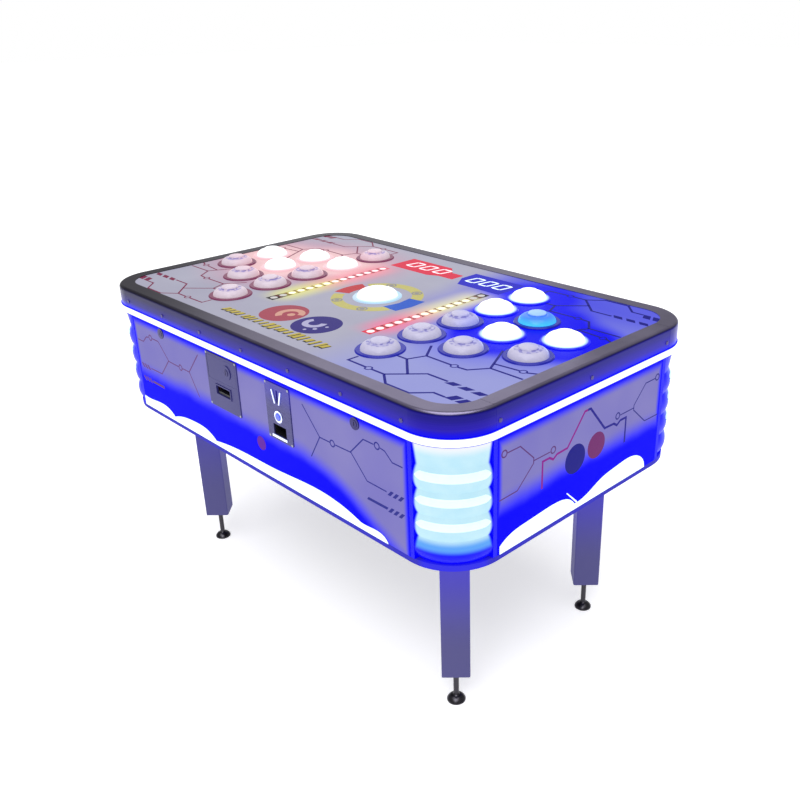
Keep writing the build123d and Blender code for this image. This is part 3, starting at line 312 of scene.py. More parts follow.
def brushed(name, colour, rough=0.32, along=(4, 260, 260), metal=1.0):
    """Metal with fine brushing along one axis, small scuffs and slow smudges."""
    shader = Shader(name, metal=metal)
    lines = shader.noise(1.0, 4.0, along)
    smudge = shader.noise(14.0, 3.0)
    darker = tuple(c * 0.72 for c in colour[:3]) + (1,)
    shader.base(shader.mix(lines, darker, colour))
    both = shader.math("MULTIPLY_ADD", lines, 0.16, shader.math("MULTIPLY", smudge, 0.12))
    shader.rough(shader.math("ADD", both, rough - 0.14))
    shader.bump(lines, 0.12, 0.0002)
    return shader


def rim_steel():
    """Brushed stainless with painted light and shade: a pale flange, lighter towards +X, and a dark skirt
    flooded with blue by the strip under it.
    """
    shader = Shader("rim_steel", metal=1.0)
    axes = shader.axes()
    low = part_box("steel_rim")[0].z
    lines = shader.noise(1.0, 4.0, (6, 6, 420))
    smudge = shader.noise(11.0, 3.0)
    # Painted shade and light: the skirt is near black, and the flange is pale and lighter towards +X.
    skirt = shader.mix(lines, srgb(8, 7, 16), srgb(30, 27, 44))
    lit_end = shader.ease(axes[0], -0.55, 0.60)
    flange_dark = shader.mix(lit_end, srgb(34, 30, 46), srgb(112, 104, 136))
    flange_pale = shader.mix(lit_end, srgb(62, 56, 76), srgb(170, 162, 192))
    flange = shader.mix(smudge, flange_dark, flange_pale)
    shader.base(shader.mix(shader.ease(axes[2], SHEET_TOP - 0.003, SHEET_TOP + 0.0012), skirt, flange))
    shader.rough(shader.math("MULTIPLY_ADD", smudge, 0.16, 0.24))
    shader.bump(lines, 0.1, 0.0002)
    # Painted light: the strip's blue glow over the skirt, stronger towards +X and towards the skirt's foot;
    # none on the flange.
    side = shader.ease(axes[0], -0.62, 0.5)
    upper = shader.mix(side, srgb(22, 16, 66), srgb(30, 24, 146))
    middle = shader.mix(side, srgb(26, 18, 130), srgb(44, 30, 190))
    upper = shader.mix(shader.ease(axes[2], SHEET_TOP - 0.006, SHEET_TOP), upper, BLACK)
    glow = shader.mix(shader.ease(axes[2], low + 0.036, low + 0.014), upper, middle)
    glow = shader.mix(shader.ease(axes[2], low + 0.016, low + 0.002), glow, DEEP_BLUE)
    shader.glow(glow, 0.85)
    return shader


def coin_plate_shader():
    """Dark satin plate with a painted blue glow, stronger towards its top; the slot guides, button ring and
    chute lip that stand off it are polished, with a painted highlight glowing on them.
    """
    shader = Shader("coin_plate_metal", metal=1.0)
    axes = shader.axes()
    face = FRONT_Y - 0.003
    lines = shader.noise(1.0, 4.0, (60, 60, 200))
    proud = shader.ease(axes[1], face - 0.0002, face - 0.0012)
    satin = shader.mix(lines, srgb(54, 52, 84), srgb(86, 84, 122))
    shader.base(shader.mix(proud, satin, srgb(226, 230, 250)))
    shader.rough(shader.math("MULTIPLY_ADD", lines, 0.14, 0.2))
    shader.bump(lines, 0.1, 0.0002)
    # Painted light: blue glow over the plate, stronger towards its top, and a pale painted highlight on the
    # raised parts.
    head = shader.ease(axes[2], 0.615, 0.665)
    plate = shader.mix(head, srgb(34, 32, 84), srgb(30, 20, 170))
    shader.glow(shader.mix(proud, plate, srgb(200, 214, 255)), 0.6)
    return shader


def plastic(name, colour, rough=0.45, speckle=500.0, **sockets):
    """Moulded plastic or paint with a fine surface grain."""
    shader = Shader(name, **sockets)
    grain = shader.noise(speckle, 2.0)
    patch = shader.noise(12.0, 3.0)
    darker = tuple(c * 0.82 for c in colour[:3]) + (1,)
    shader.base(shader.mix(patch, darker, colour))
    shader.rough(shader.math("MULTIPLY_ADD", grain, 0.18, rough - 0.09))
    shader.bump(grain, 0.15, 0.0002)
    return shader


def wood(name, light, dark, stretch=(3, 60, 60), rough=0.6):
    shader = Shader(name)
    rings = shader.noise(1.6, 5.0, stretch)
    fleck = shader.noise(420.0, 2.0)
    shader.base(shader.mix(shader.math("MULTIPLY_ADD", fleck, 0.25, rings), dark, light))
    shader.rough(shader.math("MULTIPLY_ADD", rings, 0.15, rough - 0.07))
    shader.bump(rings, 0.2, 0.0004)
    return shader


def base_board_paint():
    """Dark painted board whose outer edge has the panels' blue light painted on as a glow, deepest at the
    corners.
    """
    shader = plastic("base_board_paint", srgb(44, 42, 52), 0.6, Specular_IOR_Level=0.15)
    past_x, past_y = [shader.math("MAXIMUM", past, 0.0) for past in shader.past_corner()]
    squares = shader.math("MULTIPLY_ADD", past_x, past_x, shader.math("MULTIPLY", past_y, past_y))
    # Painted light: the panels' blue over the board's outer edge, deepest at the corners.
    edge = shader.ease(shader.math("SQRT", squares), 0.076, 0.086)
    corner = shader.ease(shader.math("MINIMUM", past_x, past_y), 0.0, 0.02)
    blue = shader.mix(shader.noise(9.0, 2.0), srgb(4, 0, 186), srgb(10, 2, 224))
    blue = shader.mix(corner, blue, DEEP_BLUE)
    shader.glow(shader.mix(edge, BLACK, blue), 0.8)
    return shader


def leg_paint():
    """Grey paint with the body's blue light painted on as a glow: bluer near the top, and more so on the
    legs towards +X.
    """
    shader = plastic("leg_paint", srgb(64, 62, 90), 0.5, 320.0, Specular_IOR_Level=0.2)
    height = shader.axes()[2]
    # Painted light: the body's blue glow, stronger near the top and on the legs towards +X.
    side = shader.math("MULTIPLY_ADD", shader.ease(shader.axes()[0], 0.0, 0.4), 0.5, 0.5)
    near_body = shader.math("MULTIPLY", shader.ease(height, 0.14, 0.45), side)
    shader.glow(shader.mix(near_body, srgb(62, 60, 120), srgb(52, 34, 226)), 0.75)
    return shader


def playfield_print():
    """Printed grey sheet lit from under, with that light painted on as a glow: blue pools round the lit
    domes at +X, pink ones at -X, and warm pools along the two lamp bars.
    """
    shader = Shader("playfield_print", rough=0.25, Specular_IOR_Level=0.03)
    axes = shader.axes()
    cloud = shader.noise(6.0, 3.0)
    colour = shader.mix(cloud, srgb(170, 168, 190), srgb(190, 190, 208))
    to_blue = shader.nearest(BLUE_POINTS, 0.06)
    to_red = shader.nearest(RED_POINTS, 0.06)
    right = shader.ease(axes[0], 0.12, 0.34)
    colour = shader.mix(shader.math("MULTIPLY", right, 0.55), colour, srgb(140, 150, 248))
    # Painted light: pools round the lit domes, blue round the blue ones and pink round the red ones.
    halo = shader.math("MULTIPLY", shader.ease(to_blue, 0.24, 0.06), 0.6)
    colour = shader.mix(halo, colour, srgb(52, 60, 250))
    rear = shader.math("MULTIPLY", shader.ease(axes[1], 0.12, 0.28), shader.ease(axes[0], 0.0, 0.18))
    colour = shader.mix(shader.math("MULTIPLY", rear, 0.75), colour, srgb(58, 62, 240))
    halo = shader.math("MULTIPLY", shader.ease(to_red, 0.24, 0.05), 0.6)
    colour = shader.mix(halo, colour, srgb(236, 150, 176))
    colour = shader.mix(shader.ease(to_blue, 0.145, 0.090), colour, DEEP_BLUE)
    halo = shader.math("MULTIPLY", shader.ease(to_red, 0.15, 0.05), 0.9)
    colour = shader.mix(halo, colour, srgb(255, 212, 214))
    # Painted light: yellow and pink pools on the sheet along the two lamp bars, in the colours of their
    # lamps.
    bar_light_hues = {-1: ((240, 238, 150), (255, 160, 175)), 1: ((255, 130, 170), (246, 240, 190))}
    for side, (hue_front, hue_rear) in bar_light_hues.items():
        away = shader.math("ABSOLUTE", shader.math("SUBTRACT", axes[0], side * BAR_X))
        light_tint = shader.mix(shader.ease(axes[1], -0.10, 0.06), srgb(*hue_front), srgb(*hue_rear))
        front_end, rear_end = shader.ease(axes[1], -0.20, -0.12), shader.ease(axes[1], 0.22, 0.13)
        ends = shader.math("MULTIPLY", front_end, rear_end)
        amount = shader.math("MULTIPLY", shader.ease(away, 0.070, 0.010), ends)
        colour = shader.mix(shader.math("MULTIPLY", amount, 0.85), colour, light_tint)
    shader.base(shader.scaled(colour, 0.20))
    shader.glow(colour, 0.68)
    shader.bump(shader.noise(700.0, 2.0), 0.05)
    return shader


def dome_shader(name, state):
    """Milky cap: dark and unlit with painted light and shade, half lit by its neighbours, or fully lit."""
    shader = Shader(name, rough=0.28, Specular_IOR_Level=0.3)
    height = shader.axes()[2]
    rise = shader.ease(height, SHEET_TOP, SHEET_TOP + 0.022)
    mottle = shader.noise(90.0, 2.0)
    if state == "unlit":
        body = shader.mix(mottle, srgb(142, 138, 156), srgb(166, 162, 180))
        # Painted shade: an unlit dome is darker low down and lighter towards its top.
        body = shader.mix(rise, shader.scaled(body, 0.7), body)
        # Painted light: an unlit dome glows pinkish towards -X and bluish towards +X, bluer next to the lit
        # blue domes and pinker next to the lit red ones.
        near_blue = shader.ease(shader.nearest(BLUE_POINTS, 0.02), 0.128, 0.064)
        near_red = shader.ease(shader.nearest(RED_POINTS, 0.02), 0.150, 0.070)
        side = shader.ease(shader.axes()[0], -0.1, 0.1)
        light_tint = shader.mix(side, srgb(232, 206, 212), srgb(186, 184, 216))
        glow = shader.mix(near_blue, light_tint, srgb(120, 136, 255))
        glow = shader.mix(near_red, glow, srgb(255, 196, 200))
        # Painted shade in the crown's slots: a broken dark band round the foot of the crown, in both base
        # colour and glow.
        low, high = [SHEET_TOP + step for step in CROWN_SLOT_SHADE]
        over, under = shader.ease(height, low, low + 0.0008), shader.ease(height, high, high - 0.0010)
        slot_shade_band = shader.math("MULTIPLY", over, under)
        broken = shader.ease(shader.noise(110.0, 0.0), 0.42, 0.56)
        dark = shader.math("MULTIPLY", slot_shade_band, shader.math("MULTIPLY_ADD", broken, 0.5, 0.15))
        shader.base(shader.mix(dark, body, srgb(60, 56, 130)))
        shader.glow(shader.mix(dark, glow, srgb(84, 78, 180)), 0.52)
    elif state == "half":
        body = shader.mix(rise, srgb(64, 196, 255), srgb(66, 104, 236))
        crown = shader.ease(height, SHEET_TOP + 0.0175, SHEET_TOP + 0.0205)
        body = shader.mix(crown, body, srgb(150, 190, 250))
        shader.base(shader.scaled(body, 0.5))
        shader.glow(shader.mix(mottle, shader.scaled(body, 0.85), body), 0.8)
    else:
        fringe = srgb(205, 244, 255) if state == "lit" else srgb(255, 206, 208)
        body = shader.mix(shader.ease(height, SHEET_TOP + 0.001, SHEET_TOP + 0.013), fringe, WHITE)
        shader.base(shader.scaled(body, 0.4))
        shader.glow(shader.mix(mottle, shader.scaled(body, 0.94), body), 1.25)
    return shader


def ring_shader():
    """Rings of the domes: maroon at -X, dark blue at +X, with painted glow in those colours, and glowing
    brighter round a lit dome.
    """
    shader = Shader("dome_ring_plastic", rough=0.25, Specular_IOR_Level=0.25)
    axes = shader.axes()
    side = shader.ease(axes[0], -0.02, 0.02)
    grain = shader.noise(300.0, 2.0)
    above = shader.ease(axes[2], SHEET_TOP - 0.004, SHEET_TOP - 0.002)
    colour = shader.mix(side, srgb(126, 56, 92), srgb(34, 38, 150))
    colour = shader.mix(above, srgb(54, 54, 60), colour)
    shader.base(shader.scaled(shader.mix(grain, shader.scaled(colour, 0.8), colour), 0.4))
    lit_centre = shader.ease(shader.nearest([CENTRES[n] for n in LIT_CENTRE], 0.002), 0.066, 0.058)
    to_lit = shader.nearest([CENTRES[n] for n in LIT_BLUE], 0.002)
    lit_blue = shader.ease(to_lit, 0.060, 0.052)
    halo = shader.mix(shader.ease(to_lit, 0.0475, 0.0425), srgb(16, 22, 252), srgb(206, 240, 255))
    lit_red = shader.ease(shader.nearest(RED_POINTS, 0.002), 0.060, 0.052)
    # Painted light: every ring glows in its own colour, more brightly round the lit domes.
    glow = shader.mix(side, srgb(104, 40, 74), srgb(22, 26, 150))
    glow = shader.mix(lit_centre, glow, srgb(196, 236, 255))
    glow = shader.mix(lit_blue, glow, halo)
    glow = shader.mix(lit_red, glow, srgb(255, 206, 212))
    shader.glow(shader.mix(above, BLACK, glow), 0.85)
    return shader


# ---- Mesh helpers for the printed and lit pieces
class Face:
    """A flat side of the table: turns (right, up, out) as seen from outside into the row frame."""

    def __init__(self, origin, right, up):
        self.origin, self.right, self.up = Vector(origin), Vector(right), Vector(up)
        self.out = self.right.cross(self.up)

    def __call__(self, u, v, lift=0.0):
        return self.origin + self.right * u * MM + self.up * v * MM + self.out * lift


TOP = Face((0, 0, SHEET_TOP), (1, 0, 0), (0, 1, 0))
FRONT = Face((0, FRONT_Y, 0), (1, 0, 0), (0, 0, 1))
REAR = Face((0, -FRONT_Y, 0), (-1, 0, 0), (0, 0, 1))
RIGHT = Face((END_X, 0, 0), (0, 1, 0), (0, 0, 1))
LEFT = Face((-END_X, 0, 0), (0, -1, 0), (0, 0, 1))


class Print:
    """Collects flat shapes on a face and makes them into one thin raised piece."""

    def __init__(self, name, shader, body, slot, lift=INK):
        self.name, self.shader, self.body, self.slot, self.lift = name, shader, body, slot, lift
        self.mesh = bmesh.new()

    def polygon(self, face, outline):
        """A raised flat shape: its top, and walls down to the panel."""
        top = [self.mesh.verts.new(face(u, v, self.lift)) for u, v in outline]
        foot = [self.mesh.verts.new(face(u, v, 0.00002)) for u, v in outline]
        self.mesh.faces.new(top)
        for i in range(len(outline)):
            j = (i + 1) % len(outline)
            self.mesh.faces.new((foot[i], foot[j], top[j], top[i]))

    def line(self, face, points, width):
        """A stroke with mitred corners."""
        half = width / 2
        spots = [Vector(p) for p in points]
        left, right = [], []
        for i, spot in enumerate(spots):
            before = (spot - spots[i - 1]).normalized() if i else (spots[1] - spot).normalized()
            after = (spots[i + 1] - spot).normalized() if i + 1 < len(spots) else before
            normal = (before + after).normalized().orthogonal()
            reach = half / max(0.4, abs(normal.dot(before.orthogonal())))
            left.append(spot + normal * reach)
            right.append(spot - normal * reach)
        for i in range(len(spots) - 1):
            self.polygon(face, [right[i], right[i + 1], left[i + 1], left[i]])

    def arc_band(self, face, centre, inner, outer, start=0.0, end=360.0, steps=40):
        angles = [radians(start + (end - start) * i / steps) for i in range(steps + 1)]
        rays = [Vector((cos(a), sin(a))) for a in angles]
        middle = Vector(centre)
        for a, b in zip(rays, rays[1:]):
            corners = [middle + a * inner, middle + a * outer, middle + b * outer, middle + b * inner]
            self.polygon(face, corners)

    def disc(self, face, centre, radius, steps=40):
        angles = [2 * pi * i / steps for i in range(steps)]
        self.polygon(face, [(centre[0] + radius * cos(a), centre[1] + radius * sin(a)) for a in angles])

    def done(self):
        mesh = bpy.data.meshes.new(self.name)
        bmesh.ops.recalc_face_normals(self.mesh, faces=self.mesh.faces)
        self.mesh.to_mesh(mesh)
        self.mesh.free()
        return add_piece(self.name, mesh, self.shader, self.body)


def add_piece(name, mesh, shader, body):
    piece = bpy.data.objects.new(name, mesh)
    bpy.context.scene.collection.objects.link(piece)
    mesh.materials.append(shader.material)
    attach(piece, body)
    return piece


def ink(name, colour, glow=0.62, rough=0.3):
    """Printed ink over a lit panel, with slight unevenness."""
    shader = Shader(name, rough=rough, Specular_IOR_Level=0.06)
    shade = shader.mix(shader.noise(240.0, 2.0), tuple(c * 0.8 for c in colour[:3]) + (1,), colour)
    shader.base(shader.scaled(shade, 0.3))
    shader.glow(shade, glow)
    return shader


def playfield_ink(name, ink_name, colour, layer=1.0):
    """A printed piece on the playfield; layer lifts it over what is printed under it."""
    return Print(name, ink(ink_name, srgb(*colour)), "lid", "playfield_print", INK * layer)


def panel_ink(name, ink_name, colour):
    return Print(name, ink(ink_name, srgb(*colour)), "cabinet", "printed_panel")


def mirrored(points, flip_u, flip_v=False):
    su, sv = (-1 if flip_u else 1), (-1 if flip_v else 1)
    return [(su * u, sv * v) for u, v in points]


# ---- Printed circuit lines of the playfield: one quarter, drawn four times
QUARTER_LINES = [
    [(264, -275), (264, -300), (317, -301)],
    [(333, -301), (368, -301), (403, -328), (464, -328), (494, -298), (522, -298)],
    [(368, -301), (425, -246), (477, -246)],
    [(318, -222), (343, -222), (377, -252), (400, -272)],
    [(343, -222), (358, -185), (325, -140)],
    [(358, -185), (425, -186)],
    [(442, -186), (464, -184), (490, -149), (568, -149)],
    [(490, -149), (478, -126), (446, -65)],
    [(480, -128), (536, -122)],
    [(553, -121), (571, -112)],
]
QUARTER_RINGS = [(325, -301), (433.5, -186), (545, -121)]
QUARTER_DASHES = [(492, -248), (524, -248), (556, -248), (536, -290), (560, -290)]


def slanted(centre, width, height, lean):
    x, y = centre
    w, h = width / 2, height / 2
    return [(x - w - lean, y - h), (x + w - lean, y - h), (x + w + lean, y + h), (x - w + lean, y + h)]


def playfield_lines():
    inks = {
        False: playfield_ink("playfield_lines_blue", "ink_blue_lines", (16, 14, 142)),
        True: playfield_ink("playfield_lines_red", "ink_red_lines", (134, 40, 80)),
    }
    for left, printed in inks.items():
        for rear in (False, True):
            for run in QUARTER_LINES:
                printed.line(TOP, mirrored(run, left, rear), 4.0 if left else 5.2)
            for spot in QUARTER_RINGS:
                printed.arc_band(TOP, mirrored([spot], left, rear)[0], 5.6, 8.6, steps=24)
            for spot in QUARTER_DASHES:
                wide = 22 if spot[1] > -270 else 18
                tall = 13 if spot[1] > -270 else 20
                printed.polygon(TOP, mirrored(slanted(spot, wide, tall, 5), left, rear))
        printed.done()


# ---- Centre emblem, discs and the row of ticks at the front edge of the playfield
def playfield_emblem():
    yellow = playfield_ink("playfield_ring_yellow", "ink_yellow", (208, 200, 118))
    yellow.arc_band(TOP, (0, 0), 80, 107, 26, 152)
    yellow.arc_band(TOP, (0, 0), 80, 107, 208, 334)
    yellow.done()
    grey = playfield_ink("playfield_ring_dots", "ink_grey", (150, 148, 160), 2)
    for angle in (58, 238, 118, 298):
        spot = (93 * cos(radians(angle)), 93 * sin(radians(angle)))
        grey.arc_band(TOP, spot, 9, 13, steps=28)
        grey.disc(TOP, spot, 6, 24)
    grey.done()
    red = playfield_ink("playfield_blade_red", "ink_blade_red", (206, 52, 62), 2)
    red.arc_band(TOP, (0, 0), 74, 112, 158, 202, 16)
    red.done()
    blue = playfield_ink("playfield_blade_blue", "ink_blade_blue", (24, 92, 214), 2)
    blue.polygon(TOP, [(66, -40), (110, -42), (116, 0), (110, 46), (66, 40), (74, 0)])
    blue.done()


def playfield_discs():
    red = playfield_ink("playfield_disc_red", "ink_disc_red", (176, 72, 92))
    red.disc(TOP, (-60, -217), 55, 64)
    red.done()
    blue = playfield_ink("playfield_disc_blue", "ink_disc_blue", (44, 30, 132), 1.5)
    blue.disc(TOP, (57, -217), 55, 64)
    blue.done()
    warm = playfield_ink("playfield_swirl_red", "ink_peach", (226, 168, 150), 2.5)
    warm.arc_band(TOP, (-44, -212), 18, 33, 20, 250, 32)
    warm.disc(TOP, (-38, -214), 9, 24)
    warm.done()
    pale = playfield_ink("playfield_swirl_blue", "ink_pale_blue", (190, 186, 226), 2.5)
    pale.arc_band(TOP, (46, -213), 14, 28, 150, 390, 32)
    pale.disc(TOP, (76, -236), 5, 20)
    pale.disc(TOP, (86, -212), 4, 20)
    pale.disc(TOP, (62, -252), 4, 20)
    pale.done()


def playfield_ticks():
    """A decorative row of slanted bars, gold with dark feet."""
    gold = playfield_ink("playfield_ticks_gold", "ink_gold", (206, 186, 76), 2)
    dark = playfield_ink("playfield_ticks_dark", "ink_black", (36, 34, 36))
    x = -182.0
    while x < 178:
        width = random.choice((7, 9, 12))
        height = random.choice((18, 22, 26))
        dark.polygon(TOP, slanted((x + 2.5, -288), width + 1, height + 3, 3))
        gold.polygon(TOP, slanted((x, -285), width, height, 3))
        x += width + random.choice((6, 7, 12))
    gold.done()
    dark.done()


# ---- Displays: digits and the two rows of lamps
SEGMENTS = {"a": (0, 1), "b": (1, 0.5), "c": (1, -0.5), "d": (0, -1), "e": (-1, -0.5), "f": (-1, 0.5)}


def digit(printed, left, low, wide, tall):
    """Slanted figure 0 made of six bars."""
    lean, stroke = tall * 0.16, wide * 0.17
    for name, (across, up) in SEGMENTS.items():
        x = left + wide / 2 + across * (wide - stroke) / 2 + lean * (up + 1) / 2
        y = low + tall / 2 + up * (tall - stroke) / 2
        if name in "ad":
            half, rise = wide / 2 - stroke * 1.15, stroke / 2
            outline = [(x - half - 2, y), (x - half, y - rise), (x + half, y - rise)]
            outline += [(x + half + 2, y), (x + half, y + rise), (x - half, y + rise)]
        else:
            half, skew, reach = tall / 4 - stroke * 0.45, lean / 4, stroke / 2
            below, above = x - skew, x + skew
            outline = [(below - reach, y - half), (below, y - half - 2), (below + reach, y - half)]
            outline += [(above + reach, y + half), (above, y + half + 2), (above - reach, y + half)]
        printed.polygon(TOP, outline)


def display_digits():
    red = Print("score_digits_red", lamp("digit_red", srgb(255, 226, 232), 1.2), "lid", "display_window")
    blue = Print("score_digits_blue", lamp("digit_blue", srgb(226, 244, 255), 1.2), "lid", "display_window")
    for number in range(3):
        digit(red, -156 + 48 * number, 228, 34, 42)
        digit(blue, 58 + 43 * number, 226, 32, 42)
    red.done()
    blue.done()


def lamp_rows():
    """Lamps in each bar, dark at one end and then in the bar's colours, parted by I marks."""
    low, high, count = -179, 179, 14
    pitch = (high - low) / count
    colours = {
        -1: [None] * 2 + ["yellow"] * 5 + ["pink"] * 7,
        1: ["pink"] * 6 + ["yellow"] * 6 + [None] * 2,
    }
    lamps = {
        "pink": lamp("lamp_pink", srgb(255, 222, 226), 1.1),
        "yellow": lamp("lamp_yellow", srgb(255, 253, 216), 1.1),
        None: ink("lamp_off", srgb(226, 222, 220)),
    }
    for hue, shader in lamps.items():
        dots = Print(f"bar_lamps_{hue or 'off'}", shader, "lid", "display_window")
        for side, run in colours.items():
            for number, own in enumerate(run):
                if own == hue:
                    dots.disc(TOP, (side * BAR_X / MM, low + pitch * (number + 0.5)), 8.6, 20)
        dots.done()
    marks = Print("bar_marks", ink("ink_bar_marks", srgb(122, 30, 34)), "lid", "display_window")
    for side in (-1, 1):
        x = side * BAR_X / MM
        for number in range(1, count):
            y = low + pitch * number
            marks.line(TOP, [(x - 7, y), (x + 7, y)], 2.4)
            for serif in (x - 9, x + 9):
                marks.polygon(TOP, slanted((serif, y), 4, 7, 0))
    marks.done()


def display_window():
    """Smoked windows flooded with the colour of what shines under them."""
    shader = Shader("display_window", rough=0.2, Specular_IOR_Level=0.03)
    axes = shader.axes()
    score = shader.ease(axes[1], 0.186, 0.192)
    side = shader.ease(axes[0], 0.028, 0.034)
    score_colour = shader.mix(side, srgb(232, 34, 74), srgb(4, 2, 206))
    left = shader.ramp(
        shader.math("MULTIPLY_ADD", axes[1], 2.6, 0.5),
        (0.10, srgb(22, 18, 22)),
        (0.20, srgb(214, 206, 110)),
        (0.45, srgb(250, 240, 150)),
        (0.62, srgb(255, 150, 160)),
        (0.98, srgb(236, 110, 130)),
    )
    right = shader.ramp(
        shader.math("MULTIPLY_ADD", axes[1], 2.6, 0.5),
        (0.04, srgb(236, 60, 84)),
        (0.40, srgb(255, 150, 160)),
        (0.58, srgb(250, 240, 190)),
        (0.84, srgb(220, 214, 170)),
        (0.93, srgb(20, 18, 60)),
    )
    bar_colour = shader.mix(shader.ease(axes[0], -0.01, 0.01), left, right)
    colour = shader.mix(score, bar_colour, score_colour)
    shade = shader.mix(shader.noise(80.0, 2.0), shader.scaled(colour, 0.8), colour)
    shader.base(shader.scaled(shade, 0.12))
    above = shader.ease(axes[2], SHEET_TOP - 0.003, SHEET_TOP - 0.001)
    shader.glow(shader.mix(above, srgb(20, 20, 22), shade), 0.85)
    return shader


# ---- Printed lines on the four sides
SIDE_LINES = [
    [(377, 643), (406, 643)],
    [(377, 643), (338, 604), (382, 559), (436, 558)],
    [(424, 642), (436, 640), (455, 624), (482, 624)],
    [(338, 603), (292, 602)],
    [(275, 602), (244, 602), (194, 657)],
    [(244, 602), (211, 549)],
]
SIDE_RINGS = [(415, 643), (283, 602)]
END_HEX = [
    [(230, 646), (196, 646), (158, 609), (158, 598), (202, 559), (251, 558)],
    [(158, 603), (111, 603)],
]
END_RINGS = [(238, 647), (102, 604)]
END_PEAK = [(-132, 534), (-132, 591), (-112, 591), (-101, 584), (-90, 591), (-59, 592), (-9, 651), (0, 651)]


def long_side_print(face, tag):
    blue = panel_ink(f"{tag}_lines_blue", f"{tag}_ink_blue", (46, 48, 150))
    red = panel_ink(f"{tag}_lines_red", f"{tag}_ink_red", (112, 60, 128))
    for left, printed in ((False, blue), (True, red)):
        for run in SIDE_LINES:
            printed.line(face, mirrored(run, left), 2.6)
        for spot in SIDE_RINGS:
            printed.arc_band(face, mirrored([spot], left)[0], 5.2, 8, steps=24)
        for x in (447, 461, 475):
            for z in (558, 523):
                printed.polygon(face, mirrored(slanted((x, z), 8, 11, 5), left))
        printed.polygon(face, mirrored(slanted((409, 523), 56, 6, 2), left))
        printed.done()
    faint = panel_ink(f"{tag}_spot", f"{tag}_ink_spot", (104, 4, 176))
    faint.disc(face, (32, 516), 16, 36)
    faint.done()


def end_print(face, tag):
    blue = panel_ink(f"{tag}_lines_blue", f"{tag}_ink_blue", (40, 40, 140))
    red = panel_ink(f"{tag}_lines_red", f"{tag}_ink_red", (104, 62, 130))
    for left, printed in ((False, blue), (True, red)):
        for run in END_HEX:
            printed.line(face, mirrored(run, left), 2.4)
        for spot in END_RINGS:
            printed.arc_band(face, mirrored([spot], left)[0], 5.2, 8, steps=24)
        printed.done()
    near = panel_ink(f"{tag}_peak_red", f"{tag}_peak_ink_red", (150, 24, 150))
    near.line(face, END_PEAK, 4.6)
    near.done()
    far = panel_ink(f"{tag}_peak_blue", f"{tag}_peak_ink_blue", (30, 24, 150))
    far.line(face, mirrored(END_PEAK, True), 5.0)
    far.done()
    disc_blue = panel_ink(f"{tag}_disc_blue", f"{tag}_disc_ink_blue", (8, 6, 142))
    disc_blue.disc(face, (-33, 559), 31, 48)
    disc_blue.done()
    disc_red = panel_ink(f"{tag}_disc_red", f"{tag}_disc_ink_red", (122, 40, 116))
    disc_red.disc(face, (34, 564), 28, 48)
    disc_red.done()


# ---- Bright raised bars on the corner covers
BAR_LEVELS = [(0.6325, 0.6135), (0.5835, 0.5665), (0.5345, 0.5175)]  # top and foot of each bar
# A bar's section: share of its half height, and how far it stands off the cover
BAR_SECTION = [(-1, -0.0025), (-0.8, 0.0), (0, 0.0008), (0.8, 0.0), (1, -0.0025)]


def corner_bars():
    """Three bars with rounded ends on each cover's crests: long at two corners, cut short as painted shade
    at the others.
    """
    shader = lamp("corner_bar_light", srgb(226, 251, 255), 0.90)
    build = bmesh.new()
    radius, steps = CORNER + 0.0004, 28
    for sx in (-1, 1):
        for sy in (-1, 1):
            centre = Vector((sx * (END_X - CORNER), sy * (-FRONT_Y - CORNER), 0))
            # Painted shade: on the covers at -X-Y and +X+Y the bars are cut short.
            start, sweep = (4, 82) if sx * sy < 0 else (20, 50)
            for high, low in BAR_LEVELS:
                rows = []
                for i in range(steps + 1):
                    t = i / steps
                    angle = radians(start + sweep * t)
                    shrink = min(1.0, (min(t, 1 - t) * 14) ** 0.5) if 0 < t < 1 else 0.25
                    mid, half = (high + low) / 2, (high - low) / 2 * shrink
                    row = []
                    for step, depth in BAR_SECTION:
                        r = radius + depth
                        spot = Vector((sx * r * cos(angle), sy * r * sin(angle), mid + half * step))
                        row.append(build.verts.new(centre + spot))
                    rows.append(row)
                for a, b in zip(rows, rows[1:]):
                    for j in range(4):
                        build.faces.new((a[j], a[j + 1], b[j + 1], b[j]))
    bmesh.ops.recalc_face_normals(build, faces=build.faces)
    mesh = bpy.data.meshes.new("corner_light_bars")
    build.to_mesh(mesh)
    build.free()
    for polygon in mesh.polygons:
        polygon.use_smooth = True
    add_piece("corner_light_bars", mesh, shader, "cabinet")


# ---- Finish of every CAD node
def paint_body():
    paint(body_panel("front_panel_glow", 0, 0.495, 1), "front_graphic_panel")
    paint(body_panel("rear_panel_glow", 0, 0.495, -1), "rear_graphic_panel")
    paint(body_panel("end_panel_glow", 1, 0.255), "end_graphic_panels")
    paint(corner_cover_shader(), "corner_light_covers")
    paint(lamp("lower_light", srgb(238, 252, 255), 1.15), "lower_light_panels")
    paint(strip_shader(), "light_strips")
    base = base_board_paint()
    paint(base, "base_board")
    paint(wood("plywood_grain", srgb(196, 160, 112), srgb(150, 112, 70)), "carcass_frame")
    paint(leg_paint(), "legs")
    paint(brushed("zinc_fasteners", srgb(168, 170, 176), 0.35, (120, 120, 120)), "cabinet_fasteners")
    screw = brushed("screw_steel", srgb(86, 80, 120), 0.3, (120, 120, 120))
    # Painted light: the rim screws glow with the strip's blue.
    screw.glow(srgb(30, 24, 110), 0.5)
    paint(screw, "rim_screws")
    feet = [name for name in NODES if name.startswith("levelling_foot")]
    paint(brushed("foot_steel", srgb(74, 72, 78), 0.30, (40, 40, 300)), *feet)


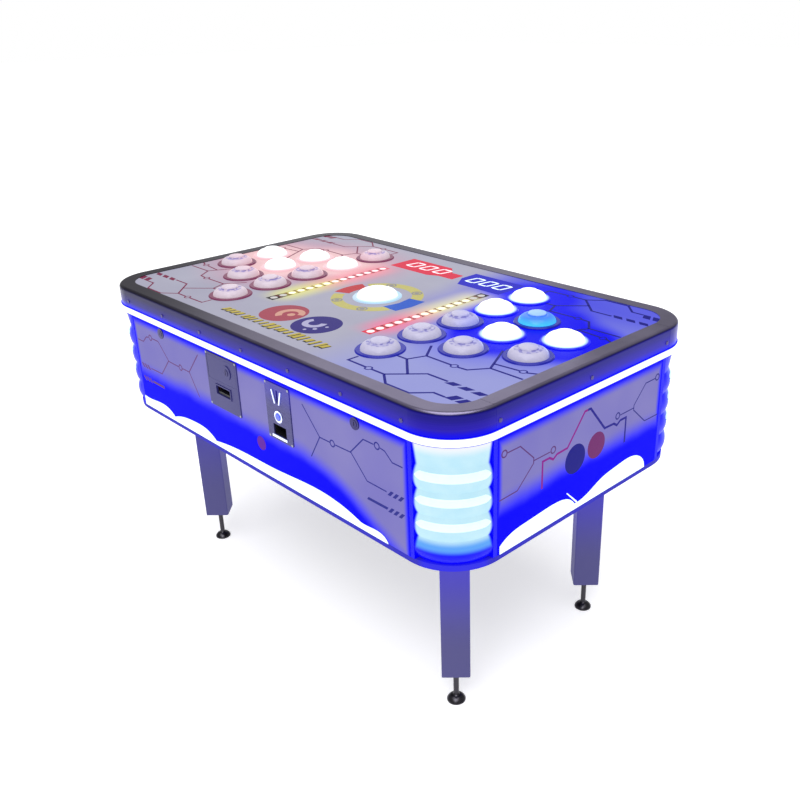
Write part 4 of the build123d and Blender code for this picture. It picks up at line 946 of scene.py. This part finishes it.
def paint_lid():
    paint(wood("lid_board_grain", srgb(170, 138, 98), srgb(120, 92, 62), (60, 60, 60)), "playfield_board")
    paint(playfield_print(), "playfield_sheet")
    paint(rim_steel(), "steel_rim")
    paint(display_window(), "led_displays")
    paint(ring_shader(), "button_housings")
    paint(plastic("switch_black", srgb(34, 34, 38), 0.4), "button_switches")
    states = {
        "unlit": [n for n in DOMES if n not in LIT_BLUE + LIT_RED + LIT_CENTRE + HALF_BLUE],
        "half": HALF_BLUE,
        "lit": LIT_BLUE + LIT_CENTRE,
        "lit_red": LIT_RED,
    }
    for state, names in states.items():
        paint(dome_shader(f"dome_{state}", state), *names)


def paint_hardware():
    paint(brushed("hinge_steel", srgb(140, 141, 146), 0.34), "lid_hinge_frames", "lid_hinges_and_catches")
    chrome = brushed("lock_chrome", srgb(66, 62, 112), 0.2, (90, 90, 90))
    paint(chrome, "lock_barrels", "lid_lock_left", "lid_lock_right", "access_door_lock")
    paint(coin_plate_shader(), "coin_faceplate")
    paint(plastic("mechanism_black", srgb(26, 26, 30), 0.4), "coin_mechanism", "ticket_dispenser")
    reject = plastic("reject_blue", srgb(20, 40, 190), 0.2, Coat_Weight=0.8)
    # Painted light: the reject button glows blue.
    reject.glow(srgb(40, 90, 255), 0.5)
    paint(reject, "coin_reject_button")
    steel = brushed("plate_steel", srgb(66, 64, 98), 0.36, (300, 300, 6))
    # Painted light: the access plate and door glow blue.
    steel.glow(srgb(48, 46, 108), 0.6)
    paint(steel, "access_plate", "access_door")
    paint(brushed("zinc_sheet", srgb(176, 178, 182), 0.38, (30, 200, 200)), "cash_box", "power_supply")
    paint(plastic("circuit_green", srgb(24, 96, 52), 0.35, 900.0), "controller_board")
    paint(plastic("black_moulding", srgb(20, 20, 22), 0.45), "speaker", "mains_inlet")
    paint(plastic("rocker_red", srgb(170, 24, 20), 0.25, Coat_Weight=0.5), "power_rocker")


# ---- Floor, light and camera
def stage():
    """Wide pale floor that fades into the same white as the backdrop."""
    shader = Shader("studio_floor", rough=0.7, Specular_IOR_Level=0.1)
    shader.base(shader.mix(shader.noise(3.0, 2.0), srgb(238, 238, 241), srgb(243, 243, 245)))
    shader.glow(srgb(255, 255, 255), 0.52)
    mesh = bpy.data.meshes.new("studio_floor")
    build = bmesh.new()
    square = ((-30, -30), (30, -30), (30, 30), (-30, 30))
    build.faces.new([build.verts.new((x, y, -0.0002)) for x, y in square])
    build.to_mesh(mesh)
    build.free()
    mesh.materials.append(shader.material)
    floor = bpy.data.objects.new("studio_floor", mesh)
    bpy.context.scene.collection.objects.link(floor)


def area_light(name, place, aim, size, power, colour=(1, 1, 1)):
    data = bpy.data.lights.new(name, "AREA")
    data.shape, data.size, data.energy, data.color = "DISK", size, power, colour
    light = bpy.data.objects.new(name, data)
    light.location = place
    light.rotation_euler = (Vector(aim) - Vector(place)).to_track_quat("-Z", "Y").to_euler()
    bpy.context.scene.collection.objects.link(light)


def lights():
    area_light("key", (1.8, -2.4, 3.0), (0, 0, 0.6), 2.2, 40)
    area_light("back", (-3.4, 2.9, 2.6), (0, 0, 0.75), 3.0, 12)
    sun = bpy.data.lights.new("overhead", "SUN")
    sun.energy, sun.angle = 1.9, radians(60)
    overhead = bpy.data.objects.new("overhead", sun)
    overhead.rotation_euler = (radians(12), radians(8), 0)
    bpy.context.scene.collection.objects.link(overhead)
    world = bpy.data.worlds.new("studio")
    world.use_nodes = True
    bpy.context.scene.world = world
    tree = world.node_tree
    seen, felt = tree.nodes["Background"], tree.nodes.new("ShaderNodeBackground")
    seen.inputs["Color"].default_value, seen.inputs["Strength"].default_value = (1, 1, 1, 1), 1.0
    felt.inputs["Color"].default_value, felt.inputs["Strength"].default_value = (1, 1, 1, 1), 0.34
    rays, both = tree.nodes.new("ShaderNodeLightPath"), tree.nodes.new("ShaderNodeMixShader")
    tree.links.new(rays.outputs["Is Camera Ray"], both.inputs[0])
    tree.links.new(felt.outputs[0], both.inputs[1])
    tree.links.new(seen.outputs[0], both.inputs[2])
    tree.links.new(both.outputs[0], tree.nodes["World Output"].inputs[0])


def camera():
    data = bpy.data.cameras.new("camera")
    data.lens, data.sensor_width = 39.41, 36
    data.shift_x = -0.06
    view = bpy.data.objects.new("camera", data)
    view.location = (1.495, -1.249, 1.347)
    view.rotation_euler = (radians(66.06), radians(0.84), radians(45.07))
    bpy.context.scene.collection.objects.link(view)
    bpy.context.scene.camera = view


paint_body()
paint_lid()
paint_hardware()
playfield_lines()
playfield_emblem()
playfield_discs()
playfield_ticks()
display_digits()
lamp_rows()
long_side_print(FRONT, "front")
long_side_print(REAR, "rear")
end_print(RIGHT, "right_end")
end_print(LEFT, "left_end")
corner_bars()
stage()
lights()
camera()
bpy.context.scene.view_settings.view_transform = "Standard"
